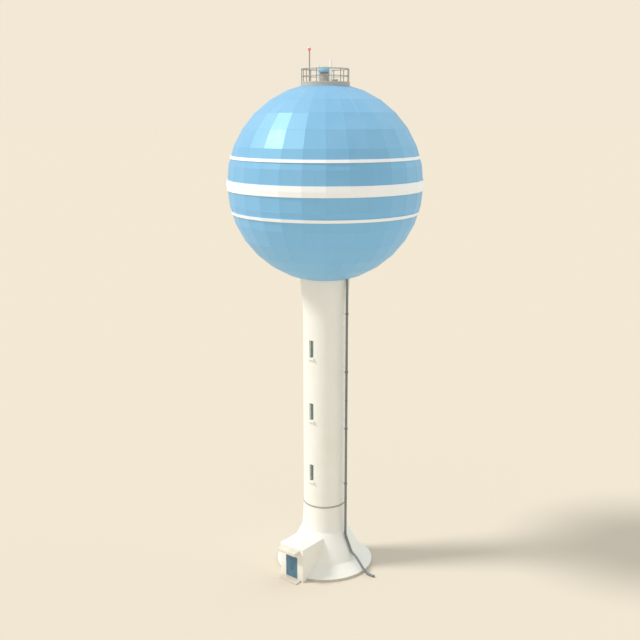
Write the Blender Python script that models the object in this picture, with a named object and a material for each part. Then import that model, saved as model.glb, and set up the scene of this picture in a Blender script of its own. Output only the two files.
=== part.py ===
"""A ball-on-a-stem water tower, at half its real size.

Metres, +Z up. The origin is on the tower's axis at ground level. The porch faces -Y and the
overflow pipe runs down the +X side. Azimuths are in degrees from -Y towards +X.
"""

import math

import bmesh
import bpy
from mathutils import Matrix, Vector

GAP = 0.0003
WELD = 0.00001

# Tank: a faceted ball of plates, with a painted band over each seam.
SIDES = 28
TANK_ROWS = 16
TANK_RADIUS = 4.40
TANK_CENTRE_Z = 18.45
TANK_PLATE = 0.0045
ROOF_HOLE_RADIUS = 0.20
SEAM_OFFSET = 1.212
BAND_PROUD = 0.035
BAND_PLATE = 0.005
MIDDLE_BAND_HEIGHT = 0.46
SIDE_BAND_HEIGHT = 0.13

# Stem
SHAFT_RADIUS = 1.02
SHAFT_PLATE = 0.010
SHAFT_BOTTOM_Z = 3.235
SHAFT_TOP_Z = 12.67
NECK_TOP_RADIUS = 1.166
SEAM_RING_HEIGHT = 0.085
SEAM_RING_PROUD = 0.014

# Bell: radius and height of each kink, and the curb it stands on.
CURB_RADIUS = 2.319
CURB_WIDTH = 0.12
CURB_HEIGHT = 0.132
BELL_FOOT = (1.75, 0.54)
BELL_SHOULDER = (1.091, 1.892)
BELL_PLATE = 0.016
QUARTER_TRIM = 0.01
FLOOR_TOP = 0.095

# Porch
PORCH_HALF_WIDTH = 0.68
PORCH_WALL = 0.08
PORCH_FRONT_Y = -2.52
PORCH_BACK_Y = -0.80
PORCH_TOP_Z = 1.68
PORCH_ROOF = 0.12
DOORWAY_HALF_WIDTH = 0.3475
DOORWAY_TOP_Z = 1.19
CANOPY_HALF_WIDTH = 0.51
CANOPY_REACH = 0.40
CANOPY_UNDERSIDE_Z = 1.445
CANOPY_TOP_Z = 1.605
STEP_HALF_WIDTH = 0.55
STEP_REACH = 0.345
STEP_HEIGHT = 0.07

# Door: two leaves that swing out on pins just in front of the wall.
FRAME_FACE = 0.022
FRAME_DEPTH = 0.06
FRAME_REBATE = 0.040
STOP_WIDTH = 0.008
LEAF_SETBACK = 0.005
LEAF_THICKNESS = 0.030
LEAF_CLEARANCE = 0.005
BOARDS_PER_LEAF = 4
GROOVE_WIDTH = 0.010
GROOVE_DEPTH = 0.005
PIN_OUT = 0.012
PIN_INSET = 0.003
KNUCKLE_RADIUS = 0.008
KNUCKLE_PLAY = 0.0005
LEAF_KNUCKLE = 0.05
FRAME_KNUCKLE = 0.022
HINGE_HEIGHTS = (0.32, 0.95)
HANDLE_INSET = 0.040
HANDLE_HEIGHTS = (0.55, 0.75)
HANDLE_REACH = 0.045
HANDLE_RADIUS = 0.008

# Windows: slots up the front of the shaft, each in a deep box with a sill.
WINDOW_CENTRES_Z = (4.89, 7.94, 10.97)
WINDOW_WIDTH = 0.226
WINDOW_HEIGHT = 0.83
WINDOW_BOX_DEPTH = 0.135
WINDOW_BOX_PLATE = 0.012
WINDOW_BOX_PROUD = 0.006
SILL_WIDTH = 0.35
SILL_HEIGHT = 0.085
SILL_REACH = 0.07
GLASS_THICKNESS = 0.008
GLASS_DEPTH = 0.120

# Overflow pipe: distance from the axis and height of each bend, from the tank down.
PIPE_RADIUS = 0.0575
PIPE_SIDES = 16
PIPE_ROUTE = (
    (1.272, 14.60),
    (1.272, 1.70),
    (1.660, 0.86),
    (1.880, 0.76),
    (2.380, 0.22),
    (2.600, 0.060),
    (2.990, 0.060),
)
PIPE_BEND_RADIUS = 0.16
PIPE_MOUTH_DEPTH = 0.12
PIPE_MOUTH_RADIUS = 0.047
BRACKET_HEIGHTS = (4.34, 7.10, 9.87, 12.63)
BRACKET_HEIGHT = 0.07
BRACKET_WIDTH = 0.05
COLLAR_RADIUS = 0.078

# Top platform
DECK_RADIUS = 1.075
DECK_HOLE_RADIUS = 0.24
DECK_TOP_Z = 22.875
DECK_PLATE = 0.022
DECK_RIM = 0.022
RAIL_CIRCLE = 1.043
RAIL_BAYS = 12
RAIL_START = 17.0
POST_RADIUS = 0.020
TOP_RAIL_RADIUS = 0.023
MID_RAIL_RADIUS = 0.017
TOP_RAIL_Z = 23.417
MID_RAIL_Z = 23.120

# Vent in the middle of the platform, under a domed hood.
TRUNK_RADIUS = 0.225
TRUNK_WALL = 0.015
HOOD_RADIUS = 0.32
HOOD_SKIRT_Z = 23.285
HOOD_EAVES_Z = 23.385
HOOD_DOME_RADIUS = 0.23
HOOD_DOME_Z = 23.415
HOOD_RISE = 0.115
HOOD_PLATE = 0.012

# Poles on the platform: x, y, radius and height of the top.
BEACON_MAST = (-0.180, -0.874, 0.026, 24.14)
BEACON_RADIUS = 0.072
VENT_POLE = (0.510, -0.269, 0.058, 23.76)
SHORT_POLE = (-0.498, 0.166, 0.045, 23.62)
POLE_SIDES = 14
FLANGE_WIDTH = 0.03
FLANGE_HEIGHT = 0.014
CABINET_PLACE = (0.765, -0.320)
CABINET_SIZE = (0.24, 0.14, 0.085)
CABINET_LID = 0.02
CABINET_LID_LAP = 0.008

WHITE_PAINT = ("white_paint", (0.86, 0.85, 0.79), 0.55, 0.0)
BLUE_PAINT = ("blue_paint", (0.22, 0.46, 0.66), 0.40, 0.0)
GREY_PAINT = ("grey_paint", (0.42, 0.42, 0.38), 0.60, 0.0)
DOOR_PAINT = ("door_paint", (0.10, 0.20, 0.27), 0.45, 0.0)
PIPE_PAINT = ("pipe_paint", (0.16, 0.18, 0.18), 0.50, 0.0)
CONCRETE = ("concrete", (0.60, 0.54, 0.44), 0.85, 0.0)
GLASS = ("glass", (0.13, 0.25, 0.24), 0.12, 0.0)
BEACON_RED = ("beacon_red", (0.85, 0.20, 0.18), 0.30, 0.0)
STEEL = ("steel", (0.50, 0.50, 0.50), 0.40, 0.9)


def clear_scene():
    for obj in list(bpy.data.objects):
        bpy.data.objects.remove(obj, do_unlink=True)


def make_material(name, finish):
    kind, colour, roughness, metallic = finish
    made = bpy.data.materials.new(f"{name}_{kind}")
    made.use_nodes = True
    shader = made.node_tree.nodes["Principled BSDF"]
    shader.inputs["Base Color"].default_value = (*colour, 1.0)
    shader.inputs["Roughness"].default_value = roughness
    shader.inputs["Metallic"].default_value = metallic
    made.diffuse_color = (*colour, 1.0)
    return made


def make_object(name, bm, finish, place=(0.0, 0.0, 0.0)):
    """Close the shape, turn its faces out and put it in the scene at a place."""
    bmesh.ops.remove_doubles(bm, verts=bm.verts[:], dist=WELD)
    bmesh.ops.recalc_face_normals(bm, faces=bm.faces[:])
    mesh = bpy.data.meshes.new(name)
    bm.to_mesh(mesh)
    bm.free()
    mesh.materials.append(make_material(name, finish))
    obj = bpy.data.objects.new(name, mesh)
    obj.location = place
    bpy.context.scene.collection.objects.link(obj)
    return obj


def as_guide(obj):
    """A shape that only cuts or joins another one."""
    obj.hide_render = True
    obj.display_type = "WIRE"
    return obj


def combine(obj, operation, other):
    """Join or cut obj with a guide shape."""
    modifier = obj.modifiers.new(f"{operation.lower()}_{other.name}", "BOOLEAN")
    modifier.operation = operation
    modifier.object = as_guide(other)
    modifier.solver = "EXACT"


def add_box(bm, low, high):
    size = Vector(high) - Vector(low)
    centre = (Vector(high) + Vector(low)) / 2
    place = Matrix.Translation(centre) @ Matrix.Diagonal((*size, 1.0))
    bmesh.ops.create_cube(bm, size=1.0, matrix=place)


def add_rod(bm, start, end, radius, sides):
    along = Vector(end) - Vector(start)
    turn = along.to_track_quat("Z", "Y").to_matrix().to_4x4()
    place = Matrix.Translation((Vector(start) + Vector(end)) / 2) @ turn
    bmesh.ops.create_cone(
        bm, cap_ends=True, segments=sides, radius1=radius, radius2=radius, depth=along.length, matrix=place
    )


def add_turned(bm, profile, sides, start, sweep):
    """Turn a closed outline of (radius, height) about the axis, from one azimuth through a sweep."""
    whole = sweep >= 360.0
    first = math.radians(start - 90.0)
    verts = [bm.verts.new((r * math.cos(first), r * math.sin(first), z)) for r, z in profile]
    edges = []
    for i, vert in enumerate(verts):
        j = (i + 1) % len(verts)
        if profile[i][0] > WELD or profile[j][0] > WELD:
            edges.append(bm.edges.new((vert, verts[j])))
    steps = round(sides * sweep / 360.0)
    spun = bmesh.ops.spin(
        bm, geom=verts + edges, cent=(0, 0, 0), axis=(0, 0, 1),
        angle=math.radians(sweep), steps=steps, use_merge=whole,
    )
    if not whole:
        last = [item for item in spun["geom_last"] if isinstance(item, bmesh.types.BMVert)]
        bm.faces.new(verts)
        bm.faces.new(last)


def box(name, low, high, finish=WHITE_PAINT):
    bm = bmesh.new()
    add_box(bm, low, high)
    return make_object(name, bm, finish)


def rod(name, start, end, radius, sides=16, finish=GREY_PAINT):
    bm = bmesh.new()
    add_rod(bm, start, end, radius, sides)
    return make_object(name, bm, finish)


def turned(name, profile, finish=WHITE_PAINT, sides=SIDES, start=0.0, sweep=360.0, place=(0.0, 0.0, 0.0)):
    bm = bmesh.new()
    add_turned(bm, profile, sides, start, sweep)
    return make_object(name, bm, finish, place)


def prism(name, outline, spans, finish, place=(0.0, 0.0, 0.0)):
    """One or more upright prisms on the same (x, y) outline, each between two heights."""
    bm = bmesh.new()
    for low, high in spans:
        face = bm.faces.new([bm.verts.new((x, y, low)) for x, y in outline])
        grown = bmesh.ops.extrude_face_region(bm, geom=[face], use_keep_orig=True)
        raised = [item for item in grown["geom"] if isinstance(item, bmesh.types.BMVert)]
        bmesh.ops.translate(bm, verts=raised, vec=(0, 0, high - low))
    return make_object(name, bm, finish, place)


def rounded_route(points, radius, steps):
    """A flat route of points with an arc at each bend."""
    route = [Vector(points[0])]
    for before, corner, after in zip(points, points[1:], points[2:]):
        before, corner, after = Vector(before), Vector(corner), Vector(after)
        arrive = (corner - before).normalized()
        leave = (after - corner).normalized()
        turn = arrive.angle(leave)
        back = radius * math.tan(turn / 2)
        centre_way = (leave - arrive).normalized()
        centre = corner + centre_way * radius / math.cos(turn / 2)
        first = corner - arrive * back - centre
        last = corner + leave * back - centre
        for step in range(steps + 1):
            t = step / steps
            blend = first * math.sin((1 - t) * turn) + last * math.sin(t * turn)
            route.append(centre + blend / math.sin(turn))
    route.append(Vector(points[-1]))
    return route


def tube(name, route, radius, sides, finish, along_x=True, offset=0.0, place=(0.0, 0.0, 0.0)):
    """A closed round bar along a flat route of (distance, height), towards +X or towards +Y."""
    bm = bmesh.new()
    rings = []
    for i, point in enumerate(route):
        arrive = (point - route[i - 1]).normalized() if i else None
        leave = (route[i + 1] - point).normalized() if i + 1 < len(route) else None
        along = ((arrive or leave) + (leave or arrive)).normalized()
        stretch = 1.0 / along.dot(leave or arrive)
        across = Vector((-along.y, along.x)) * stretch
        ring = []
        for side in range(sides):
            angle = 2 * math.pi * (side + 0.5) / sides
            flat = point + across * radius * math.cos(angle)
            out = radius * math.sin(angle) + offset
            ring.append(bm.verts.new((flat.x, out, flat.y) if along_x else (out, flat.x, flat.y)))
        rings.append(ring)
    for lower, upper in zip(rings, rings[1:]):
        for side in range(sides):
            after = (side + 1) % sides
            bm.faces.new((lower[side], lower[after], upper[after], upper[side]))
    bm.faces.new(rings[0])
    bm.faces.new(rings[-1])
    return make_object(name, bm, finish, place)


def ring_profile(inner, outer, low, high):
    return [(outer, high), (outer, low), (inner, low), (inner, high)]


def tank_outline():
    """Corners of the ball's outline, from its lowest point to its highest."""
    step = math.pi / TANK_ROWS
    angles = [-math.pi / 2 + step * row for row in range(TANK_ROWS + 1)]
    return [(TANK_RADIUS * math.cos(a), TANK_CENTRE_Z + TANK_RADIUS * math.sin(a)) for a in angles]


def radius_at(outline, z):
    """Distance from the axis at a height, on the straight edges of a rising outline."""
    for (r0, z0), (r1, z1) in zip(outline, outline[1:]):
        if z0 <= z <= z1:
            return r0 + (r1 - r0) * (z - z0) / (z1 - z0)
    return outline[-1][0]


def height_at(outline, radius):
    """Height at a distance from the axis, on the first edge of an outline that reaches it."""
    for (r0, z0), (r1, z1) in zip(outline, outline[1:]):
        if min(r0, r1) <= radius <= max(r0, r1) and abs(r1 - r0) > WELD:
            return z0 + (z1 - z0) * (radius - r0) / (r1 - r0)
    return outline[-1][1]


def tank_underside_at(radius):
    return height_at(tank_outline(), radius)


def tank_top_at(radius):
    return height_at(tank_outline()[::-1], radius)


def between(outline, low, high):
    """The stretch of a rising outline between two heights."""
    inside = [point for point in outline if low + WELD < point[1] < high - WELD]
    return [(radius_at(outline, low), low)] + inside + [(radius_at(outline, high), high)]


def crossing(a, b, c, d):
    """Where the line through a and b meets the line through c and d."""
    a, b, c, d = Vector(a), Vector(b), Vector(c), Vector(d)
    u, v = b - a, d - c
    t = ((c.x - a.x) * v.y - (c.y - a.y) * v.x) / (u.x * v.y - u.y * v.x)
    return tuple(a + u * t)


def inner_line(outer, thickness, plumb_start, plumb_end):
    """A rising outline moved in by a thickness, with each end cut level or plumb."""
    moved = []
    for start, end in zip(outer, outer[1:]):
        along = (Vector(end) - Vector(start)).normalized()
        inwards = Vector((-along.y, along.x)) * thickness
        moved.append((Vector(start) + inwards, Vector(end) + inwards))
    line = []
    for i, (r, z) in enumerate(outer):
        if i == 0:
            beside = (r, z + 1.0) if plumb_start else (r + 1.0, z)
            line.append(crossing(*moved[0], (r, z), beside))
        elif i == len(outer) - 1:
            beside = (r, z + 1.0) if plumb_end else (r + 1.0, z)
            line.append(crossing(*moved[-1], (r, z), beside))
        else:
            line.append(crossing(*moved[i - 1], *moved[i]))
    return line


def plate_profile(outer, thickness, plumb_start=False, plumb_end=False):
    """A closed outline for a turned plate wall whose outside rises along outer."""
    return list(outer) + inner_line(outer, thickness, plumb_start, plumb_end)[::-1]


def make_tank():
    """The ball in four courses, with a hole in its top for the vent."""
    outline = tank_outline()
    seams = (TANK_CENTRE_Z - SEAM_OFFSET, TANK_CENTRE_Z, TANK_CENTRE_Z + SEAM_OFFSET)
    bowl = between(outline, outline[0][1], seams[0] - GAP / 2)
    lower = between(outline, seams[0] + GAP / 2, seams[1] - GAP / 2)
    upper = between(outline, seams[1] + GAP / 2, seams[2] - GAP / 2)
    roof = between(outline, seams[2] + GAP / 2, tank_top_at(ROOF_HOLE_RADIUS))
    turned("tank_bowl", plate_profile(bowl, TANK_PLATE, plumb_start=True), BLUE_PAINT)
    turned("tank_lower_belt", plate_profile(lower, TANK_PLATE), BLUE_PAINT)
    turned("tank_upper_belt", plate_profile(upper, TANK_PLATE), BLUE_PAINT)
    turned("tank_roof", plate_profile(roof, TANK_PLATE, plumb_end=True), BLUE_PAINT)


def make_bands():
    """White hoops over the seams: channels open to the tank that follow the slope of its plates."""
    bands = (
        ("band_lower", -SEAM_OFFSET, SIDE_BAND_HEIGHT),
        ("band_middle", 0.0, MIDDLE_BAND_HEIGHT),
        ("band_upper", SEAM_OFFSET, SIDE_BAND_HEIGHT),
    )
    for name, offset, height in bands:
        low = TANK_CENTRE_Z + offset - height / 2
        high = low + height
        outside = between(tank_outline(), low, high)
        hollow = between(tank_outline(), low + BAND_PLATE, high - BAND_PLATE)
        outer = [(r + BAND_PROUD, z) for r, z in outside]
        inner = [(r + BAND_PROUD - BAND_PLATE, z) for r, z in hollow]
        upper_lip = [(r + GAP, z) for r, z in (outside[-1], hollow[-1])]
        lower_lip = [(r + GAP, z) for r, z in (hollow[0], outside[0])]
        turned(name, outer + upper_lip + inner[::-1] + lower_lip)


def window_span(centre_z, margin):
    """Lowest and highest point of a window opening with a margin around it."""
    reach = WINDOW_HEIGHT / 2 + margin
    return centre_z - reach, centre_z + reach


def make_shaft():
    """Three sections of the shaft, each with one window opening."""
    cuts = [SHAFT_BOTTOM_Z]
    cuts += [(lower + upper) / 2 for lower, upper in zip(WINDOW_CENTRES_Z, WINDOW_CENTRES_Z[1:])]
    cuts.append(SHAFT_TOP_Z)
    names = ("shaft_lower", "shaft_middle", "shaft_upper")
    margin = WINDOW_BOX_PLATE + GAP
    half_width = WINDOW_WIDTH / 2 + margin
    for i, name in enumerate(names):
        foot, head = cuts[i] + GAP / 2, cuts[i + 1] - GAP / 2
        section = turned(name, ring_profile(SHAFT_RADIUS - SHAFT_PLATE, SHAFT_RADIUS, foot, head))
        low, high = window_span(WINDOW_CENTRES_Z[i], margin)
        opening = box(
            f"window_opening_{i + 1}",
            (-half_width, -SHAFT_RADIUS - 0.2, low),
            (half_width, -SHAFT_RADIUS + 0.3, high),
        )
        combine(section, "DIFFERENCE", opening)


def make_neck_and_seam_ring():
    """The cone that spreads the shaft under the tank, and the ring where the shaft meets the bell."""
    inner_top = NECK_TOP_RADIUS - SHAFT_PLATE
    turned("neck_cone", [
        (SHAFT_RADIUS, SHAFT_TOP_Z + GAP / 2),
        (NECK_TOP_RADIUS, tank_underside_at(NECK_TOP_RADIUS) - GAP),
        (inner_top, tank_underside_at(inner_top) - GAP),
        (SHAFT_RADIUS - SHAFT_PLATE, SHAFT_TOP_Z + GAP / 2),
    ])
    ring = ring_profile(
        SHAFT_RADIUS - 2 * SHAFT_PLATE,
        SHAFT_RADIUS + SEAM_RING_PROUD,
        SHAFT_BOTTOM_Z - SEAM_RING_HEIGHT,
        SHAFT_BOTTOM_Z - GAP / 2,
    )
    turned("seam_ring", ring, GREY_PAINT)


def shaft_envelope():
    """The space the shaft fills, a touch larger, for cutting what is fixed to it."""
    reach = SHAFT_RADIUS + GAP
    return turned("shaft_envelope", [(0.0, 3.5), (reach, 3.5), (reach, 12.9), (0.0, 12.9)])


def make_windows(shaft):
    """A deep box with a sill, and a pane near its inner end, in each opening."""
    half_width = WINDOW_WIDTH / 2
    front = -SHAFT_RADIUS
    for i, centre_z in enumerate(WINDOW_CENTRES_Z):
        low, high = window_span(centre_z, 0.0)
        frame = box(
            f"window_frame_{i + 1}",
            (-SILL_WIDTH / 2, front - SILL_REACH, low - SILL_HEIGHT),
            (SILL_WIDTH / 2, front + 0.1, low - 0.004),
        )
        combine(frame, "DIFFERENCE", shaft)
        plate = WINDOW_BOX_PLATE
        liner = box(
            f"window_liner_{i + 1}",
            (-half_width - plate, front - WINDOW_BOX_PROUD, low - plate),
            (half_width + plate, front + WINDOW_BOX_DEPTH, high + plate),
        )
        combine(frame, "UNION", liner)
        hollow = box(
            f"window_hollow_{i + 1}",
            (-half_width, front - 0.2, low),
            (half_width, front + 0.3, high),
        )
        combine(frame, "DIFFERENCE", hollow)
        box(
            f"window_glass_{i + 1}",
            (-half_width + GAP, front + GLASS_DEPTH, low + GAP),
            (half_width - GAP, front + GLASS_DEPTH + GLASS_THICKNESS, high - GAP),
            GLASS,
        )


def bell_outline():
    """Corners of the bell's outside, from its curb up to the seam ring."""
    top = SHAFT_BOTTOM_Z - SEAM_RING_HEIGHT - GAP
    return [(CURB_RADIUS, CURB_HEIGHT + GAP), BELL_FOOT, BELL_SHOULDER, (SHAFT_RADIUS, top)]


def make_bell(passage):
    """Four quarters of the bell on one curb, open in front where the porch passes through."""
    quarters = (
        ("bell_front_right", 0.0),
        ("bell_back_right", 90.0),
        ("bell_back_left", 180.0),
        ("bell_front_left", 270.0),
    )
    profile = plate_profile(bell_outline(), BELL_PLATE)
    for name, start in quarters:
        quarter = turned(name, profile, start=start + QUARTER_TRIM, sweep=90.0 - 2 * QUARTER_TRIM)
        if "front" in name:
            combine(quarter, "DIFFERENCE", passage)
    curb = turned("base_curb", ring_profile(CURB_RADIUS - CURB_WIDTH, CURB_RADIUS, 0.0, CURB_HEIGHT))
    combine(curb, "DIFFERENCE", passage)


def make_floor():
    """The slab inside the bell, with a tongue through the porch to the doorway."""
    reach = CURB_RADIUS - CURB_WIDTH - GAP
    outline = [(0.0, 0.0), (reach, 0.0), (reach, FLOOR_TOP), (0.0, FLOOR_TOP)]
    slab = turned("ground_floor", outline, CONCRETE)
    hall = PORCH_HALF_WIDTH - PORCH_WALL - GAP
    door = DOORWAY_HALF_WIDTH - GAP
    back = PORCH_FRONT_Y + PORCH_WALL + GAP
    outline = [
        (-door, PORCH_FRONT_Y), (door, PORCH_FRONT_Y), (door, back), (hall, back),
        (hall, -0.5), (-hall, -0.5), (-hall, back), (-door, back),
    ]
    tongue = prism("floor_tongue", outline, [(0.0, FLOOR_TOP)], CONCRETE)
    combine(slab, "UNION", tongue)


def bell_envelope():
    """The space the bell and its curb fill, a touch larger, for cutting what meets them."""
    outer = [(r + GAP, z) for r, z in bell_outline()]
    foot = [(0.0, -0.1), (CURB_RADIUS + GAP, -0.1)]
    return turned("bell_envelope", foot + outer + [(0.0, outer[-1][1])])


def make_porch(bell):
    """Side walls, a front in three pieces around the doorway, a flat roof, a canopy and a step."""
    eaves = PORCH_TOP_Z - PORCH_ROOF - GAP
    inside = PORCH_HALF_WIDTH - PORCH_WALL
    front = PORCH_FRONT_Y
    for side, sign in (("left", -1), ("right", 1)):
        near, far = sorted((sign * inside, sign * PORCH_HALF_WIDTH))
        wall = box(f"porch_{side}_wall", (near, front, 0.0), (far, PORCH_BACK_Y, eaves))
        combine(wall, "DIFFERENCE", bell)
        near, far = sorted((sign * (DOORWAY_HALF_WIDTH + GAP / 2), sign * (inside - GAP)))
        box(f"porch_front_{side}", (near, front, 0.0), (far, front + PORCH_WALL, eaves))
    lintel = DOORWAY_HALF_WIDTH - GAP
    box("porch_lintel", (-lintel, front, DOORWAY_TOP_Z), (lintel, front + PORCH_WALL, eaves))
    roof = box(
        "porch_roof",
        (-PORCH_HALF_WIDTH, front, PORCH_TOP_Z - PORCH_ROOF),
        (PORCH_HALF_WIDTH, PORCH_BACK_Y, PORCH_TOP_Z),
    )
    combine(roof, "DIFFERENCE", bell)
    box(
        "porch_canopy",
        (-CANOPY_HALF_WIDTH, front - CANOPY_REACH, CANOPY_UNDERSIDE_Z),
        (CANOPY_HALF_WIDTH, front - GAP, CANOPY_TOP_Z),
        CONCRETE,
    )
    box(
        "porch_step",
        (-STEP_HALF_WIDTH, front - STEP_REACH, 0.0),
        (STEP_HALF_WIDTH, front - GAP, STEP_HEIGHT),
        CONCRETE,
    )


def pin_place(sign):
    """Where a leaf's hinge pin stands, with sign -1 for the left leaf and 1 for the right."""
    edge = DOORWAY_HALF_WIDTH - FRAME_FACE - LEAF_CLEARANCE
    return Vector((sign * (edge + PIN_INSET), PORCH_FRONT_Y - PIN_OUT, 0.0))


def knuckle_outline(sign, hand, arm_length, arm_depth):
    """A hinge knuckle seen from above: a round barrel with an arm towards the leaf or the jamb."""
    start = -math.pi / 2
    barrel = [start + math.pi * step / 8 for step in range(9)]
    outline = [(KNUCKLE_RADIUS * math.cos(a), KNUCKLE_RADIUS * math.sin(a)) for a in barrel]
    outline += [(-0.0035, KNUCKLE_RADIUS), (-0.0035, arm_depth), (-arm_length, arm_depth)]
    outline += [(-arm_length, -KNUCKLE_RADIUS)]
    return [(sign * hand * x, y) for x, y in outline]


def make_jamb(side, sign):
    """A jamb with a rebate for its leaf, and the fixed knuckles of that leaf's hinges."""
    outer = DOORWAY_HALF_WIDTH - GAP
    opening = DOORWAY_HALF_WIDTH - FRAME_FACE
    front, back = PORCH_FRONT_Y, PORCH_FRONT_Y + FRAME_DEPTH
    stop = PORCH_FRONT_Y + FRAME_REBATE
    outline = [
        (outer, front), (opening, front), (opening, stop),
        (opening - STOP_WIDTH, stop), (opening - STOP_WIDTH, back), (outer, back),
    ]
    spans = [(FLOOR_TOP + GAP, DOORWAY_TOP_Z - GAP)]
    jamb = prism(f"door_jamb_{side}", [(sign * x, y) for x, y in outline], spans, DOOR_PAINT)
    knuckle_spans = []
    for height in HINGE_HEIGHTS:
        reach = LEAF_KNUCKLE / 2 + KNUCKLE_PLAY
        knuckle_spans.append((height - reach - FRAME_KNUCKLE, height - reach))
        knuckle_spans.append((height + reach, height + reach + FRAME_KNUCKLE))
    outline = knuckle_outline(sign, -1, 0.022, PIN_OUT + 0.0015)
    knuckles = prism(f"jamb_knuckles_{side}", outline, knuckle_spans, DOOR_PAINT, pin_place(sign))
    combine(jamb, "UNION", knuckles)


def make_door_head():
    """The rail over the leaves, between the jambs, with the same rebate."""
    half = DOORWAY_HALF_WIDTH - FRAME_FACE - GAP
    front, back = PORCH_FRONT_Y, PORCH_FRONT_Y + FRAME_DEPTH
    stop = PORCH_FRONT_Y + FRAME_REBATE
    top = DOORWAY_TOP_Z - GAP
    underside = top - FRAME_FACE
    head = box("door_head", (-half, front, underside - STOP_WIDTH), (half, back, top), DOOR_PAINT)
    rebate = box("head_rebate", (-1.0, front - 0.1, underside - 0.1), (1.0, stop, underside))
    combine(head, "DIFFERENCE", rebate)
    for side, sign in (("left", -1), ("right", 1)):
        near, far = sorted((sign * (half - STOP_WIDTH), sign * 1.0))
        low, high = underside - 0.1, top + 0.1
        corner = box(f"head_corner_{side}", (near, stop - GAP, low), (far, back + 0.1, high))
        combine(head, "DIFFERENCE", corner)


def leaf_outline(sign):
    """One leaf seen from above, measured from its pin, with grooves between its boards."""
    outer = PIN_INSET
    inner = abs(pin_place(sign).x) - LEAF_CLEARANCE / 2
    front = PIN_OUT + LEAF_SETBACK
    back = front + LEAF_THICKNESS
    board = (inner - outer) / BOARDS_PER_LEAF
    outline = [(outer, front)]
    for joint in range(1, BOARDS_PER_LEAF):
        middle = outer + board * joint
        outline.append((middle - GROOVE_WIDTH / 2, front))
        outline.append((middle, front + GROOVE_DEPTH))
        outline.append((middle + GROOVE_WIDTH / 2, front))
    outline += [(inner, front), (inner, back), (outer, back)]
    return [(-sign * x, y) for x, y in outline]


def make_leaf(side, sign):
    """A boarded leaf that turns on its pin, with its knuckles and a pull handle."""
    pin = pin_place(sign)
    low = FLOOR_TOP + LEAF_CLEARANCE
    high = DOORWAY_TOP_Z - GAP - FRAME_FACE - LEAF_CLEARANCE
    leaf = prism(f"door_leaf_{side}", leaf_outline(sign), [(low, high)], DOOR_PAINT, pin)
    spans = [(height - LEAF_KNUCKLE / 2, height + LEAF_KNUCKLE / 2) for height in HINGE_HEIGHTS]
    outline = knuckle_outline(sign, 1, 0.024, PIN_OUT + LEAF_SETBACK + 0.0015)
    knuckles = prism(f"leaf_knuckles_{side}", outline, spans, DOOR_PAINT, pin)
    combine(leaf, "UNION", knuckles)
    face = PIN_OUT + LEAF_SETBACK - GAP
    corners = (
        (face, HANDLE_HEIGHTS[0]),
        (face - HANDLE_REACH, HANDLE_HEIGHTS[0]),
        (face - HANDLE_REACH, HANDLE_HEIGHTS[1]),
        (face, HANDLE_HEIGHTS[1]),
    )
    route = rounded_route(corners, 0.018, 3)
    across = -sign * (abs(pin.x) - HANDLE_INSET)
    handle = tube(f"door_handle_{side}", route, HANDLE_RADIUS, 10, STEEL, along_x=False, offset=across)
    handle.parent = leaf


def make_pipe():
    """The overflow from the tank's underside, down the shaft and over the bell to the ground."""
    outline = tank_outline()
    ceiling = between(outline, outline[0][1], outline[0][1] + 1.5)
    under_tank = [(0.0, outline[0][1] - GAP)] + [(r + GAP, z - GAP) for r, z in ceiling[1:]]
    tank = turned("tank_envelope", under_tank + [(0.0, under_tank[-1][1])])
    route = rounded_route(PIPE_ROUTE, PIPE_BEND_RADIUS, 4)
    pipe = tube("overflow_pipe", route, PIPE_RADIUS, PIPE_SIDES, PIPE_PAINT)
    combine(pipe, "DIFFERENCE", tank)
    end, height = PIPE_ROUTE[-1]
    mouth = rod(
        "pipe_mouth", (end - PIPE_MOUTH_DEPTH, 0, height), (end + 0.1, 0, height), PIPE_MOUTH_RADIUS
    )
    combine(pipe, "DIFFERENCE", mouth)


def make_brackets(shaft):
    """Collars that hold the pipe off the shaft."""
    distance = PIPE_ROUTE[0][0]
    bore_route = [Vector((distance, BRACKET_HEIGHTS[0] - 1)), Vector((distance, BRACKET_HEIGHTS[-1] + 1))]
    bore = tube("pipe_clearance", bore_route, PIPE_RADIUS + GAP, PIPE_SIDES, PIPE_PAINT)
    half_height = BRACKET_HEIGHT / 2
    for i, height in enumerate(BRACKET_HEIGHTS):
        bracket = rod(
            f"pipe_bracket_{i + 1}",
            (distance, 0, height - half_height),
            (distance, 0, height + half_height),
            COLLAR_RADIUS,
        )
        arm = box(
            f"bracket_arm_{i + 1}",
            (SHAFT_RADIUS - 0.08, -BRACKET_WIDTH / 2, height - half_height * 0.7),
            (distance, BRACKET_WIDTH / 2, height + half_height * 0.7),
        )
        combine(bracket, "UNION", arm)
        combine(bracket, "DIFFERENCE", shaft)
        combine(bracket, "DIFFERENCE", bore)


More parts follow.
